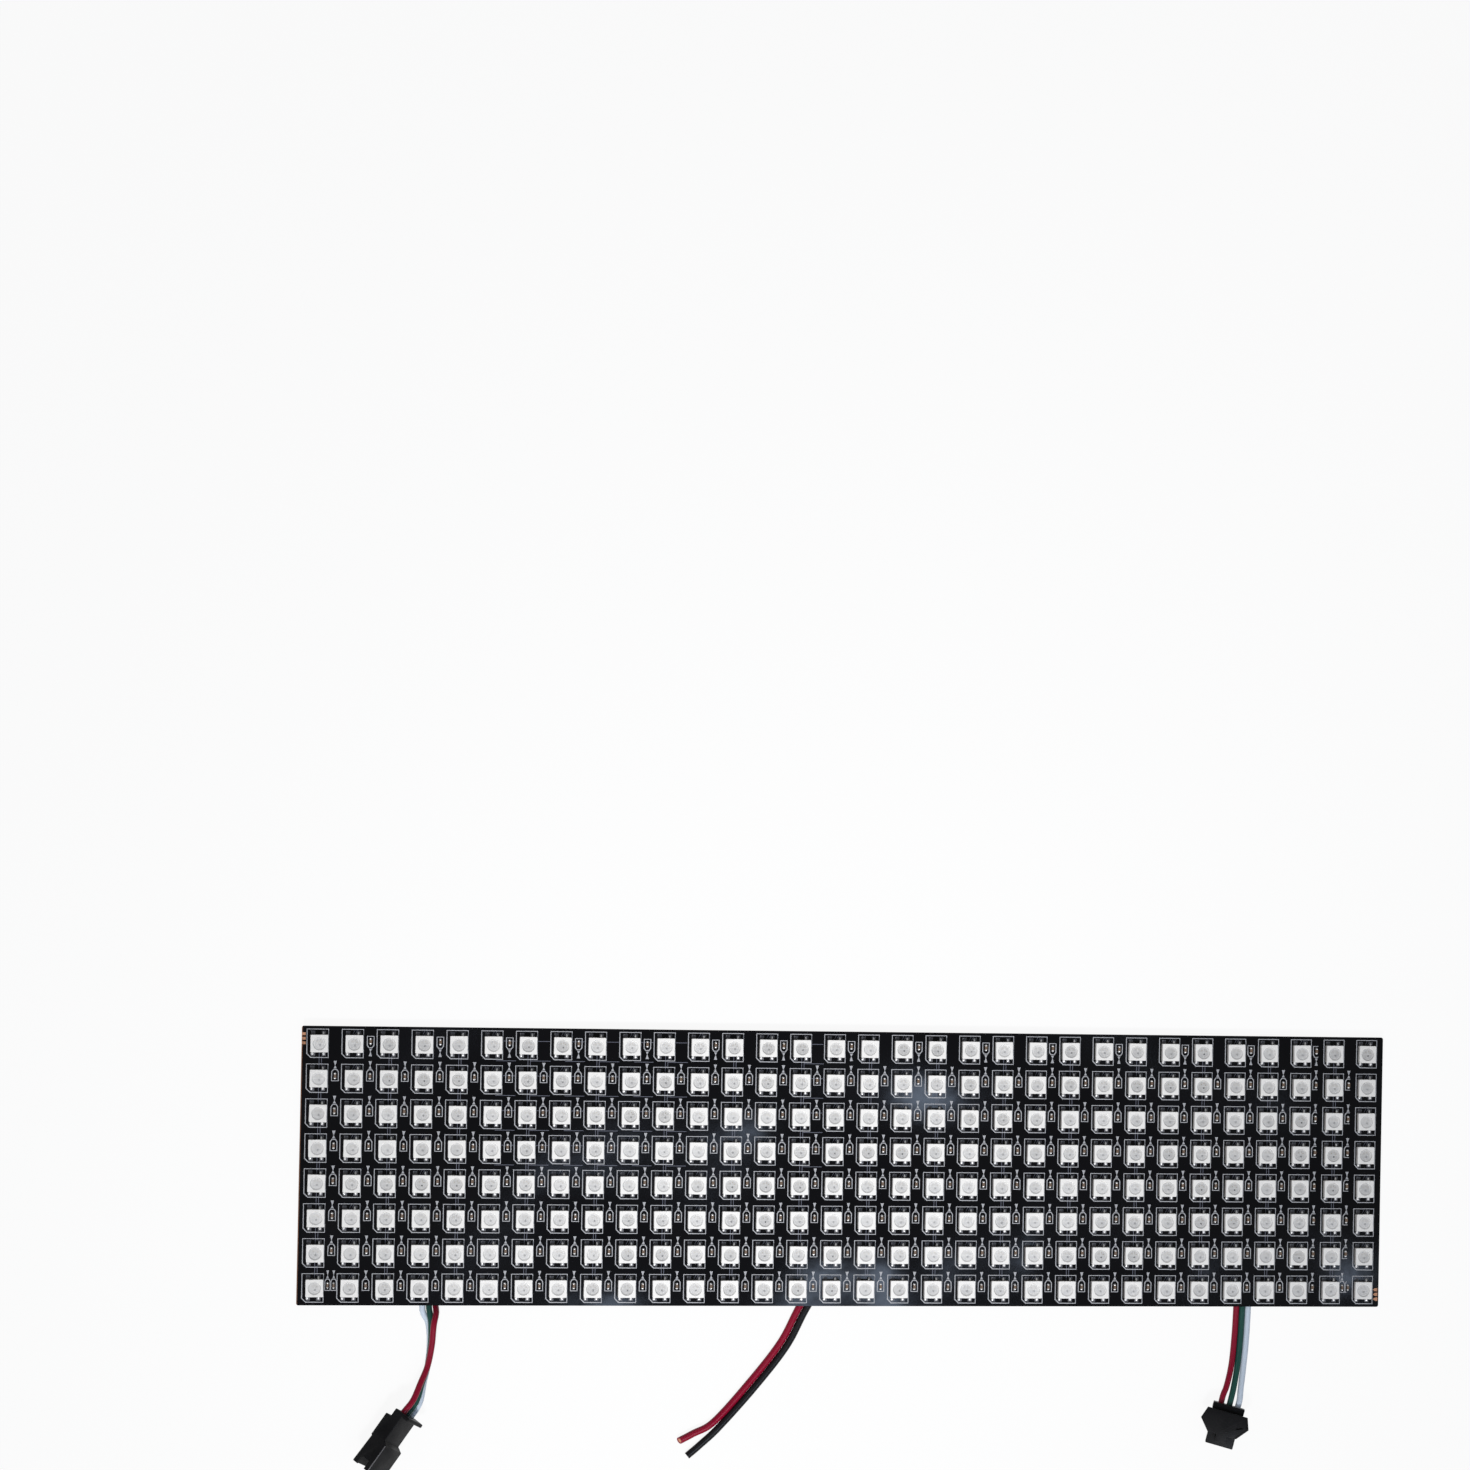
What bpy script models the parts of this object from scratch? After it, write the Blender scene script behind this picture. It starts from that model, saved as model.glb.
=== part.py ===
"""A flexible LED matrix panel, 32 by 8 light packages on a black film, with its three leads.

The panel lies face up, propped by its solder joints and its connectors, as it comes to rest on a table.
Lengths are in metres. The origin is on the table under the panel's centre, +X runs along the long side,
+Y towards the top edge and +Z out of the lit face.
"""

import math

import bmesh
import bpy
from mathutils import Matrix, Vector

# Panel
COLUMNS = 32
ROWS = 8
PITCH = 0.010
FILM_THICKNESS = 0.0003
FILM_CORNER_RADIUS = 0.0006
FILM_HEIGHT = 0.0023
FILM_END_LENGTH = 0.026
FILM_END_LIFT = 0.0001

# Light packages
LED_SIDE = 0.005
LED_HEIGHT = 0.0016
LENS_RADIUS = 0.0018
LENS_DEPTH = 0.0002
LENS_SIDES = 8

# Wires
DATA_WIRE_RADIUS = 0.00085
POWER_WIRE_RADIUS = 0.0010
END_GAP = 0.0003
ROUTE_STEP = 2.2

# Solder joints on the back
DATA_JOINT_WIDTH = 0.0020
POWER_JOINT_WIDTH = 0.0026
JOINT_LENGTH = 0.0032
DATA_JOINT_DEPTH = 0.0019
DATA_CORE_RADIUS = 0.00032
POWER_CORE_RADIUS = 0.00048
CORE_LENGTH = 0.0012
CORE_SIDES = 8

# What both connectors share
CONTACT_PITCH = 0.0025
CONTACT_HOLE_RADIUS = 0.00105
CONTACT_SIDES = 8
WIRE_ENTRY = 0.0012
CRIMP_RADIUS = 0.0008
CRIMP_LENGTH = 0.0055
MATING_CLEARANCE = 0.0001
MOULD_EDGE = 0.00025

# Short housing with socket contacts, on the output lead
PLUG_LENGTH = 0.0122
PLUG_WIDTH = 0.0082
PLUG_TOP = 0.00235
PLUG_BOTTOM = 0.00215
PLUG_REAR_LENGTH = 0.0020
PLUG_REAR_WIDTH = 0.0094
PLUG_FACE_WALL = 0.0006
PIN_ENTRY_RADIUS = 0.00068
LEVER_THICKNESS = 0.0011
LEVER_TONGUE_WIDTH = 0.0034
LEVER_TONGUE_REACH = 0.0110
LEVER_WAIST_WIDTH = 0.0086
LEVER_WAIST_AT = 0.0088
LEVER_TIP_WIDTH = 0.0144
LEVER_TIP_AT = 0.0053
LEVER_REAR_WIDTH = 0.0120
LEVER_REAR_AT = 0.0018
PIVOT_AT = 0.0062
PIVOT_LENGTH = 0.0016
PIVOT_WIDTH = 0.0040
HOOK_LENGTH = 0.0010
HOOK_WIDTH = 0.0028
HOOK_DEPTH = 0.00055

# Long housing with pin contacts, on the input lead
SHROUD_LENGTH = 0.0190
SHROUD_WALL = 0.0008
SHROUD_STEP_AT = 0.0090
SHROUD_STEP_LENGTH = 0.0012
BODY_SIDE_STEP = 0.0007
BODY_TOP_STEP = 0.0016
BODY_KEEL = 0.0004
NECK_LENGTH = 0.0027
NECK_STEP = 0.0018
LIP_LENGTH = 0.0011
LIP_HEIGHT = 0.0024
MATING_DEPTH = 0.0084
SIDE_SLOT_WIDTH = 0.0030
SIDE_SLOT_DEPTH = 0.0026
HOOK_CLEARANCE = 0.0003

# Contacts
PIN_RADIUS = 0.0005
PIN_TIP_RADIUS = 0.0002
PIN_TIP_LENGTH = 0.0007
PIN_SETBACK = 0.0030
SOCKET_RADIUS = 0.00092
SOCKET_BORE_DEPTH = 0.0052

# What follows from these sizes
HALF_LENGTH = COLUMNS * PITCH / 2
HALF_WIDTH = ROWS * PITCH / 2
BACK_Z = FILM_HEIGHT
FACE_Z = FILM_HEIGHT + FILM_THICKNESS
OVERRUN = 0.001

# The plug goes in face down, so that its lever takes the shroud's lower wall
CAVITY_WIDTH = PLUG_WIDTH + 2 * MATING_CLEARANCE
CAVITY_TOP = PLUG_BOTTOM + MATING_CLEARANCE
CAVITY_BOTTOM = PLUG_TOP + MATING_CLEARANCE
SHROUD_WIDTH = CAVITY_WIDTH + 2 * SHROUD_WALL
SHROUD_TOP = CAVITY_TOP + SHROUD_WALL
SHROUD_BOTTOM = CAVITY_BOTTOM + SHROUD_WALL
LEVER_UNDERSIDE = CAVITY_BOTTOM + SHROUD_WALL + MATING_CLEARANCE
HOOK_END = LEVER_TONGUE_REACH - MOULD_EDGE
CAVITY_FLOOR = SHROUD_LENGTH - MATING_DEPTH
LATCH_START = CAVITY_FLOOR + PLUG_LENGTH - HOOK_END - HOOK_CLEARANCE
LATCH_LENGTH = HOOK_LENGTH + 2 * HOOK_CLEARANCE

# How each housing lies on the table, rolled about its lead on a lower edge, and the height of its contacts
INPUT_TWIST = 52
OUTPUT_TWIST = -15


def rest_height(width, bottom, twist):
    """Height of the contacts in a housing that rests on one long edge, softened by the mould."""
    across = abs(math.sin(math.radians(twist)))
    down = math.cos(math.radians(twist))
    return width / 2 * across + bottom * down - MOULD_EDGE * min(across, down)


INPUT_REST_Z = rest_height(SHROUD_WIDTH, SHROUD_BOTTOM, INPUT_TWIST)
OUTPUT_REST_Z = rest_height(PLUG_REAR_WIDTH, PLUG_BOTTOM, OUTPUT_TWIST)

# Routes, from the back of the panel to the connector or the cut end. Each row is a place along the lead:
# x, y and height of the lead's middle, twist in degrees, and the spacing of its wires. x and y run from the
# panel's lower left corner, its lower right corner, and the middle of its lower edge.
# At no twist a bonded lead lies flat with its first wire on the right as the lead runs.


def placed(route, corner_x):
    """A route moved to the place on the panel's lower edge that it was measured from."""
    return [(corner_x + x, y - HALF_WIDTH, *rest) for x, y, *rest in route]


INPUT_ROUTE = placed(
    [
        (0.0410, 0.0610, 0.00090, 180, 0.0027),
        (0.0410, 0.0580, 0.00090, 180, 0.0027),
        (0.0408, 0.0520, 0.00090, 180, 0.0019),
        (0.0396, 0.0340, 0.00090, 180, 0.0018),
        (0.0385, 0.0140, 0.00090, 180, 0.0018),
        (0.03815, 0.0030, 0.00092, 180, 0.0018),
        (0.0381, -0.0004, 0.00098, 179, 0.0019),
        (0.03835, -0.0024, 0.00202, 146, 0.0021),
        (0.0387, -0.0052, 0.00284, 110, 0.0020),
        (0.03875, -0.0110, 0.00278, 96, 0.0018),
        (0.03797, -0.0171, 0.00290, 85, 0.0018),
        (0.03643, -0.0218, 0.00420, 72, 0.0019),
        (0.03475, -0.0271, INPUT_REST_Z - 0.0003, 57, 0.0023),
        (0.0322, -0.0308, INPUT_REST_Z, INPUT_TWIST, CONTACT_PITCH),
    ],
    -HALF_LENGTH,
)
OUTPUT_ROUTE = placed(
    [
        (-0.0410, 0.0610, 0.00090, 0, 0.0027),
        (-0.0410, 0.0580, 0.00090, 0, 0.0027),
        (-0.0409, 0.0520, 0.00090, 0, 0.0019),
        (-0.0405, 0.0340, 0.00090, 0, 0.0018),
        (-0.0407, 0.0150, 0.00090, 0, 0.0018),
        (-0.0411, 0.0000, 0.00090, 0, 0.0018),
        (-0.0415, -0.0090, 0.00098, -2, 0.0018),
        (-0.0424, -0.0175, 0.00160, -6, 0.0018),
        (-0.0437, -0.0238, 0.00270, -12, 0.0021),
        (-0.04444, -0.0266, OUTPUT_REST_Z - 0.0001, OUTPUT_TWIST, CONTACT_PITCH),
        (-0.04506, -0.0290, OUTPUT_REST_Z, OUTPUT_TWIST, CONTACT_PITCH),
    ],
    HALF_LENGTH,
)
POWER_ROUTE = placed(
    [
        (0.0035, 0.0610, 0.00105, 0, 0.0034),
        (0.0035, 0.0580, 0.00105, 0, 0.0034),
        (0.0036, 0.0510, 0.00105, 0, 0.0022),
        (0.0028, 0.0340, 0.00105, 0, 0.0021),
        (-0.0028, 0.0155, 0.00105, 0, 0.0021),
        (-0.0124, 0.0003, 0.00105, 0, 0.0021),
        (-0.0184, -0.0113, 0.00105, 0, 0.0021),
        (-0.0278, -0.0235, 0.00105, 0, 0.0021),
        (-0.0378, -0.0347, 0.00105, 0, 0.0022),
        (-0.0435, -0.0389, 0.00105, 0, 0.0039),
        (-0.0475, -0.0416, 0.00105, 0, 0.0050),
    ],
    0.0,
)


def clear_scene():
    for thing in list(bpy.data.objects):
        bpy.data.objects.remove(thing, do_unlink=True)


def finish(name, colour, roughness, metallic=0.0):
    """A plain material in the piece's own colour."""
    material = bpy.data.materials.new(name)
    material.use_nodes = True
    shader = material.node_tree.nodes["Principled BSDF"]
    shader.inputs["Base Color"].default_value = (*colour, 1.0)
    shader.inputs["Roughness"].default_value = roughness
    shader.inputs["Metallic"].default_value = metallic
    return material


def add_object(name, mesh_code, material=None, parent=None):
    """Turns a bmesh into an object, facing out, and puts it in the scene."""
    bmesh.ops.recalc_face_normals(mesh_code, faces=mesh_code.faces)
    mesh = bpy.data.meshes.new(name)
    mesh_code.to_mesh(mesh)
    mesh_code.free()
    thing = bpy.data.objects.new(name, mesh)
    bpy.context.scene.collection.objects.link(thing)
    if material:
        mesh.materials.append(material)
    thing.parent = parent
    return thing


def as_helper(thing):
    thing.hide_render = True
    thing.display_type = "WIRE"
    return thing


def combine(thing, operation, helper):
    """Joins a helper to a piece, or cuts it away."""
    step = thing.modifiers.new(helper.name, "BOOLEAN")
    step.operation = operation
    step.solver = "EXACT"
    step.object = helper


def box(low, high):
    """A block between two opposite corners."""
    mesh_code = bmesh.new()
    bmesh.ops.create_cube(mesh_code, size=1.0)
    size = [b - a for a, b in zip(low, high)]
    middle = [(a + b) / 2 for a, b in zip(low, high)]
    bmesh.ops.scale(mesh_code, vec=size, verts=mesh_code.verts)
    bmesh.ops.translate(mesh_code, vec=middle, verts=mesh_code.verts)
    return mesh_code


def rod(radius, start, end, sides, turn=0.0):
    """A round bar along Y, with a flat side or a corner upwards by its turn."""
    mesh_code = bmesh.new()
    bmesh.ops.create_cone(
        mesh_code, cap_ends=True, segments=sides, radius1=radius, radius2=radius, depth=end - start
    )
    bmesh.ops.rotate(mesh_code, matrix=Matrix.Rotation(turn, 3, "Z"), verts=mesh_code.verts)
    bmesh.ops.rotate(mesh_code, matrix=Matrix.Rotation(-math.pi / 2, 3, "X"), verts=mesh_code.verts)
    bmesh.ops.translate(mesh_code, vec=(0, (start + end) / 2, 0), verts=mesh_code.verts)
    return mesh_code


def turned(profile, sides):
    """A body turned about Y from a profile of radius and place along the axis."""
    mesh_code = bmesh.new()
    points = [mesh_code.verts.new((radius, along, 0)) for radius, along in profile]
    edges = [mesh_code.edges.new(pair) for pair in zip(points, points[1:])]
    bmesh.ops.spin(
        mesh_code,
        geom=points + edges,
        axis=(0, 1, 0),
        cent=(0, 0, 0),
        steps=sides,
        angle=2 * math.pi,
        use_merge=True,
    )
    bmesh.ops.remove_doubles(mesh_code, verts=mesh_code.verts, dist=1e-6)
    return mesh_code


def lofted(sections):
    """A moulded block along Y. Each section is its place and its left, right, bottom and top."""
    mesh_code = bmesh.new()
    rings = []
    for along, left, right, bottom, top in sections:
        corners = ((left, bottom), (right, bottom), (right, top), (left, top))
        rings.append([mesh_code.verts.new((x, along, z)) for x, z in corners])
    mesh_code.faces.new(rings[0])
    mesh_code.faces.new(rings[-1])
    for ring, following in zip(rings, rings[1:]):
        for side in range(4):
            after = (side + 1) % 4
            mesh_code.faces.new((ring[side], ring[after], following[after], following[side]))
    return mesh_code


def plate(outline, thickness):
    """A flat outline, given by its corners in order, carried along a straight line."""
    mesh_code = bmesh.new()
    base = mesh_code.faces.new([mesh_code.verts.new(corner) for corner in outline])
    raised = bmesh.ops.extrude_face_region(mesh_code, geom=[base])["geom"]
    corners = [part for part in raised if isinstance(part, bmesh.types.BMVert)]
    bmesh.ops.translate(mesh_code, vec=thickness, verts=corners)
    return mesh_code


def soften(thing, width):
    """The small radius that a mould leaves on every outer edge."""
    edge = thing.modifiers.new("mould_edge", "BEVEL")
    edge.width = width
    edge.segments = 1
    edge.limit_method = "ANGLE"
    edge.angle_limit = math.radians(30)


def shade_round(thing):
    thing.data.shade_smooth()
    thing.data.set_sharp_from_angle(angle=math.radians(40))


def spread_over_panel(thing):
    """Repeats a thing made for the first column and row at every place of the matrix."""
    for name, count, offset in (("columns", COLUMNS, (PITCH, 0, 0)), ("rows", ROWS, (0, PITCH, 0))):
        array = thing.modifiers.new(name, "ARRAY")
        array.count = count
        array.use_relative_offset = False
        array.use_constant_offset = True
        array.constant_offset_displace = offset


def make_flex_board(material):
    """The laminated film with every light package soldered on, as one body. Its two ends lift a little."""
    film = box((-HALF_LENGTH, -HALF_WIDTH, BACK_Z), (HALF_LENGTH, HALF_WIDTH, FACE_Z))
    corners = [edge for edge in film.edges if abs(edge.verts[0].co.z - edge.verts[1].co.z) > FILM_THICKNESS / 2]
    bmesh.ops.bevel(
        film, geom=corners, offset=FILM_CORNER_RADIUS, affect="EDGES", segments=2, profile=0.5, material=-1
    )
    bend_at = HALF_LENGTH - FILM_END_LENGTH
    for side in (-1, 1):
        everything = film.verts[:] + film.edges[:] + film.faces[:]
        bmesh.ops.bisect_plane(film, geom=everything, plane_co=(side * bend_at, 0, 0), plane_no=(1, 0, 0))
    for corner in film.verts:
        corner.co.z += FILM_END_LIFT * max(0.0, abs(corner.co.x) - bend_at) / FILM_END_LENGTH
    board = add_object("flex_board", film, material)

    first = Vector(((PITCH - COLUMNS * PITCH) / 2, (PITCH - ROWS * PITCH) / 2, FACE_Z))
    half_side = LED_SIDE / 2
    sunk = FILM_THICKNESS / 3
    block = box(
        first - Vector((half_side, half_side, sunk)), first + Vector((half_side, half_side, LED_HEIGHT))
    )
    packages = as_helper(add_object("package_blocks", block))
    spread_over_panel(packages)

    lens = bmesh.new()
    above = LENS_DEPTH
    bmesh.ops.create_cone(
        lens,
        cap_ends=True,
        segments=LENS_SIDES,
        radius1=0,
        radius2=LENS_RADIUS * (LENS_DEPTH + above) / LENS_DEPTH,
        depth=LENS_DEPTH + above,
    )
    bmesh.ops.remove_doubles(lens, verts=lens.verts, dist=1e-7)
    bmesh.ops.rotate(lens, matrix=Matrix.Rotation(math.pi / LENS_SIDES, 3, "Z"), verts=lens.verts)
    bmesh.ops.translate(lens, vec=first + Vector((0, 0, LED_HEIGHT)), verts=lens.verts)
    lenses = as_helper(add_object("lens_cutters", lens))
    spread_over_panel(lenses)

    combine(board, "UNION", packages)
    combine(board, "DIFFERENCE", lenses)
    return board


def route_samples(route, step):
    """Places at an even spacing along one smooth curve through a route's rows."""
    rows = [Vector(row) for row in route]
    rows = [2 * rows[0] - rows[1], *rows, 2 * rows[-1] - rows[-2]]
    fine = []
    for before, start, end, after in zip(rows, rows[1:], rows[2:], rows[3:]):
        for part in range(40):
            t = part / 40
            fine.append(
                0.5
                * (
                    2 * start
                    + (end - before) * t
                    + (2 * before - 5 * start + 4 * end - after) * t**2
                    + (3 * start - before - 3 * end + after) * t**3
                )
            )
    fine.append(rows[-2])
    lengths = [0.0]
    for a, b in zip(fine, fine[1:]):
        lengths.append(lengths[-1] + math.dist(a[:3], b[:3]))
    count = math.ceil(lengths[-1] / step)
    samples = []
    at = 0
    for number in range(count + 1):
        wanted = lengths[-1] * number / count
        while at < len(fine) - 2 and lengths[at + 1] < wanted:
            at += 1
        share = (wanted - lengths[at]) / (lengths[at + 1] - lengths[at])
        samples.append(fine[at].lerp(fine[at + 1], share))
    return samples


def wire_path(route, offset, step):
    """The middle line of one wire of a lead, offset by so many spacings from the lead's middle."""
    samples = route_samples(route, step)
    path = []
    for number, place in enumerate(samples):
        ahead = samples[min(number + 1, len(samples) - 1)]
        behind = samples[max(number - 1, 0)]
        forward = Vector((ahead[0] - behind[0], ahead[1] - behind[1], 0)).normalized()
        right = forward.cross(Vector((0, 0, 1)))
        twist = math.radians(place[3])
        across = math.cos(twist) * right + Vector((0, 0, math.sin(twist)))
        path.append(Vector(place[:3]) + offset * place[4] * across)
    return path


def make_wire(name, route, offset, radius, material):
    """One insulated wire, as a plain round tube."""
    curve = bpy.data.curves.new(name, "CURVE")
    curve.dimensions = "3D"
    curve.bevel_depth = radius
    curve.bevel_resolution = 2
    curve.use_fill_caps = True
    path = wire_path(route, offset, ROUTE_STEP * 2 * radius)
    spline = curve.splines.new("POLY")
    spline.points.add(len(path) - 1)
    for point, place in zip(spline.points, path):
        point.co = (*place, 1.0)
    curve.materials.append(material)
    wire = bpy.data.objects.new(name, curve)
    bpy.context.scene.collection.objects.link(wire)
    return wire


def make_joint(name, route, offset, width, depth, core_radius, material):
    """A solder joint on the back of the film, with the wire's bare core running out of it."""
    wire_start = wire_path(route, offset, PITCH)[0]
    middle = Vector((wire_start.x, wire_start.y + END_GAP + CORE_LENGTH + JOINT_LENGTH / 2, BACK_Z))
    dome = bmesh.new()
    bmesh.ops.create_uvsphere(dome, u_segments=10, v_segments=6, radius=1.0)
    bmesh.ops.scale(dome, vec=(width / 2, JOINT_LENGTH / 2, depth), verts=dome.verts)
    everything = dome.verts[:] + dome.edges[:] + dome.faces[:]
    cut = bmesh.ops.bisect_plane(
        dome, geom=everything, plane_co=(0, 0, 0), plane_no=(0, 0, 1), dist=1e-7, clear_outer=True
    )
    rim = [part for part in cut["geom_cut"] if isinstance(part, bmesh.types.BMEdge)]
    bmesh.ops.contextual_create(dome, geom=rim)
    bmesh.ops.translate(dome, vec=middle, verts=dome.verts)
    joint = add_object(name, dome, material)
    shade_round(joint)

    core = rod(core_radius, wire_start.y + END_GAP, middle.y, CORE_SIDES)
    bmesh.ops.translate(core, vec=(wire_start.x, 0, wire_start.z), verts=core.verts)
    combine(joint, "UNION", as_helper(add_object(f"{name}_core", core)))
    return joint


def connector_frame(name, route):
    """The empty that carries a connector: at the lead's end, with +Y out of the mating face."""
    end = Vector(route[-1][:3])
    forward = end - Vector(route[-2][:3])
    frame = bpy.data.objects.new(name, None)
    bpy.context.scene.collection.objects.link(frame)
    frame.location = end
    frame.rotation_euler = (0, -math.radians(route[-1][3]), math.atan2(-forward.x, forward.y))
    return frame


def contact_places():
    """Sideways places of the three contacts, named for the wire that each one ends."""
    return (("red", CONTACT_PITCH), ("green", 0.0), ("white", -CONTACT_PITCH))


def cut_hole(housing, name, radius, start, end, place, frame):
    hole = rod(radius, start, end, CONTACT_SIDES, math.pi / CONTACT_SIDES)
    bmesh.ops.translate(hole, vec=(place, 0, 0), verts=hole.verts)
    combine(housing, "DIFFERENCE", as_helper(add_object(name, hole, parent=frame)))


def mirrored_outline(right_half, height):
    """An outline across the middle of a connector, from the corners of its right half."""
    left_half = [(-x, y) for x, y in reversed(right_half)]
    return [(x, y, height) for x, y in right_half + left_half]


def make_plug(material, frame):
    """The short housing: three socket holes, and a rocking lever with wings to press."""
    half_rear = PLUG_REAR_WIDTH / 2
    half = PLUG_WIDTH / 2
    body = mirrored_outline(
        [(half, PLUG_LENGTH), (half, PLUG_REAR_LENGTH), (half_rear, PLUG_REAR_LENGTH), (half_rear, 0)],
        -PLUG_BOTTOM,
    )
    housing = add_object("output_housing", plate(body, (0, 0, PLUG_BOTTOM + PLUG_TOP)), material, frame)
    soften(housing, MOULD_EDGE)

    outline = mirrored_outline(
        [
            (LEVER_TONGUE_WIDTH / 2, LEVER_TONGUE_REACH),
            (LEVER_TONGUE_WIDTH / 2, LEVER_WAIST_AT),
            (LEVER_WAIST_WIDTH / 2, LEVER_WAIST_AT),
            (LEVER_TIP_WIDTH / 2, LEVER_TIP_AT),
            (LEVER_REAR_WIDTH / 2, LEVER_REAR_AT),
        ],
        LEVER_UNDERSIDE,
    )
    lever = as_helper(add_object("lever_plate", plate(outline, (0, 0, LEVER_THICKNESS)), parent=frame))
    soften(lever, MOULD_EDGE)

    inside = LEVER_THICKNESS / 2
    pivot = box(
        (-PIVOT_WIDTH / 2, PIVOT_AT - PIVOT_LENGTH / 2, PLUG_TOP - inside),
        (PIVOT_WIDTH / 2, PIVOT_AT + PIVOT_LENGTH / 2, LEVER_UNDERSIDE + inside),
    )
    hook = box(
        (-HOOK_WIDTH / 2, HOOK_END - HOOK_LENGTH, LEVER_UNDERSIDE - HOOK_DEPTH),
        (HOOK_WIDTH / 2, HOOK_END, LEVER_UNDERSIDE + inside),
    )
    combine(housing, "UNION", as_helper(add_object("lever_pivot", pivot, parent=frame)))
    combine(housing, "UNION", lever)
    combine(housing, "UNION", as_helper(add_object("lever_hook", hook, parent=frame)))

    for colour, place in contact_places():
        inner_end = PLUG_LENGTH - PLUG_FACE_WALL
        cut_hole(housing, f"socket_hole_{colour}", CONTACT_HOLE_RADIUS, -OVERRUN, inner_end, place, frame)
        cut_hole(
            housing, f"pin_entry_{colour}", PIN_ENTRY_RADIUS, PIVOT_AT, PLUG_LENGTH + OVERRUN, place, frame
        )
    return housing


def make_receptacle(material, frame):
    """The long housing: a shroud that takes the plug's nose, round three pins."""
    half = SHROUD_WIDTH / 2
    body_half = half - BODY_SIDE_STEP
    body_top = SHROUD_TOP - BODY_TOP_STEP
    body_bottom = -SHROUD_BOTTOM - BODY_KEEL
    neck_bottom = body_bottom + NECK_STEP
    shroud_start = SHROUD_STEP_AT + SHROUD_STEP_LENGTH
    shroud = lofted(
        [
            (SHROUD_STEP_AT, MOULD_EDGE - body_half, body_half - MOULD_EDGE, -SHROUD_BOTTOM, body_top - MOULD_EDGE),
            (shroud_start, -half, half, -SHROUD_BOTTOM, SHROUD_TOP),
            (SHROUD_LENGTH, -half, half, -SHROUD_BOTTOM, SHROUD_TOP),
        ]
    )
    housing = add_object("input_housing", shroud, material, frame)
    soften(housing, MOULD_EDGE)

    side_view = [
        (0, body_top),
        (shroud_start, body_top),
        (shroud_start, body_bottom),
        (NECK_LENGTH, body_bottom),
        (NECK_LENGTH, neck_bottom),
        (0, neck_bottom),
    ]
    body = plate([(-body_half, y, z) for y, z in side_view], (2 * body_half, 0, 0))
    lip_low = (-body_half, 0, body_top - LIP_HEIGHT)
    lip_high = (body_half, LIP_LENGTH, body_top + LIP_HEIGHT)
    for name, shape in (("receptacle_body", body), ("receptacle_lip", box(lip_low, lip_high))):
        helper = as_helper(add_object(name, shape, parent=frame))
        soften(helper, MOULD_EDGE)
        combine(housing, "UNION", helper)

    beyond = SHROUD_LENGTH + OVERRUN
    cavity = box((-CAVITY_WIDTH / 2, CAVITY_FLOOR, -CAVITY_BOTTOM), (CAVITY_WIDTH / 2, beyond, CAVITY_TOP))
    middle = (CAVITY_TOP - CAVITY_BOTTOM) / 2
    slot = box(
        (-half - OVERRUN, SHROUD_LENGTH - SIDE_SLOT_DEPTH, middle - SIDE_SLOT_WIDTH / 2),
        (half + OVERRUN, beyond, middle + SIDE_SLOT_WIDTH / 2),
    )
    window_half = HOOK_WIDTH / 2 + HOOK_CLEARANCE
    window = box(
        (-window_half, LATCH_START, -SHROUD_BOTTOM - OVERRUN),
        (window_half, LATCH_START + LATCH_LENGTH, middle),
    )
    combine(housing, "DIFFERENCE", as_helper(add_object("mating_cavity", cavity, parent=frame)))
    combine(housing, "DIFFERENCE", as_helper(add_object("side_slots", slot, parent=frame)))
    combine(housing, "DIFFERENCE", as_helper(add_object("latch_window", window, parent=frame)))

    pin_hole_radius = PIN_RADIUS + MATING_CLEARANCE
    crimp_end = WIRE_ENTRY + END_GAP + CRIMP_LENGTH
    for colour, place in contact_places():
        cut_hole(
            housing,
            f"crimp_hole_{colour}",
            CONTACT_HOLE_RADIUS,
            -LIP_LENGTH,
            crimp_end + MATING_CLEARANCE,
            place,
            frame,
        )
        cut_hole(
            housing, f"pin_hole_{colour}", pin_hole_radius, NECK_LENGTH, CAVITY_FLOOR + OVERRUN, place, frame
        )
    return housing


def make_pin(colour, place, material, frame):
    """A pin contact: a crimp barrel on the wire's end, and a round pin with a tapered tip."""
    start = WIRE_ENTRY + END_GAP
    shoulder = start + CRIMP_LENGTH
    tip = SHROUD_LENGTH - PIN_SETBACK
    profile = [
        (0, start),
        (CRIMP_RADIUS, start),
        (CRIMP_RADIUS, shoulder),
        (PIN_RADIUS, shoulder),
        (PIN_RADIUS, tip - PIN_TIP_LENGTH),
        (PIN_TIP_RADIUS, tip),
        (0, tip),
    ]
    contact = add_object(f"input_pin_{colour}", turned(profile, CONTACT_SIDES), material, frame)
    contact.location.x = place
    shade_round(contact)
    return contact


def make_socket(colour, place, material, frame):
    """A socket contact: a crimp barrel on the wire's end, and a round sleeve that grips the pin."""
    start = WIRE_ENTRY + END_GAP
    mouth = PLUG_LENGTH - PLUG_FACE_WALL - END_GAP
    crimp_end = mouth - SOCKET_BORE_DEPTH - 2 * END_GAP
    bore = PIN_RADIUS + MATING_CLEARANCE
    profile = [
        (0, start),
        (CRIMP_RADIUS, start),
        (CRIMP_RADIUS, crimp_end),
        (SOCKET_RADIUS, crimp_end),
        (SOCKET_RADIUS, mouth),
        (bore, mouth),
        (bore, mouth - SOCKET_BORE_DEPTH),
        (0, mouth - SOCKET_BORE_DEPTH),
    ]
    contact = add_object(f"output_socket_{colour}", turned(profile, CONTACT_SIDES), material, frame)
    contact.location.x = place
    shade_round(contact)
    return contact


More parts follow.
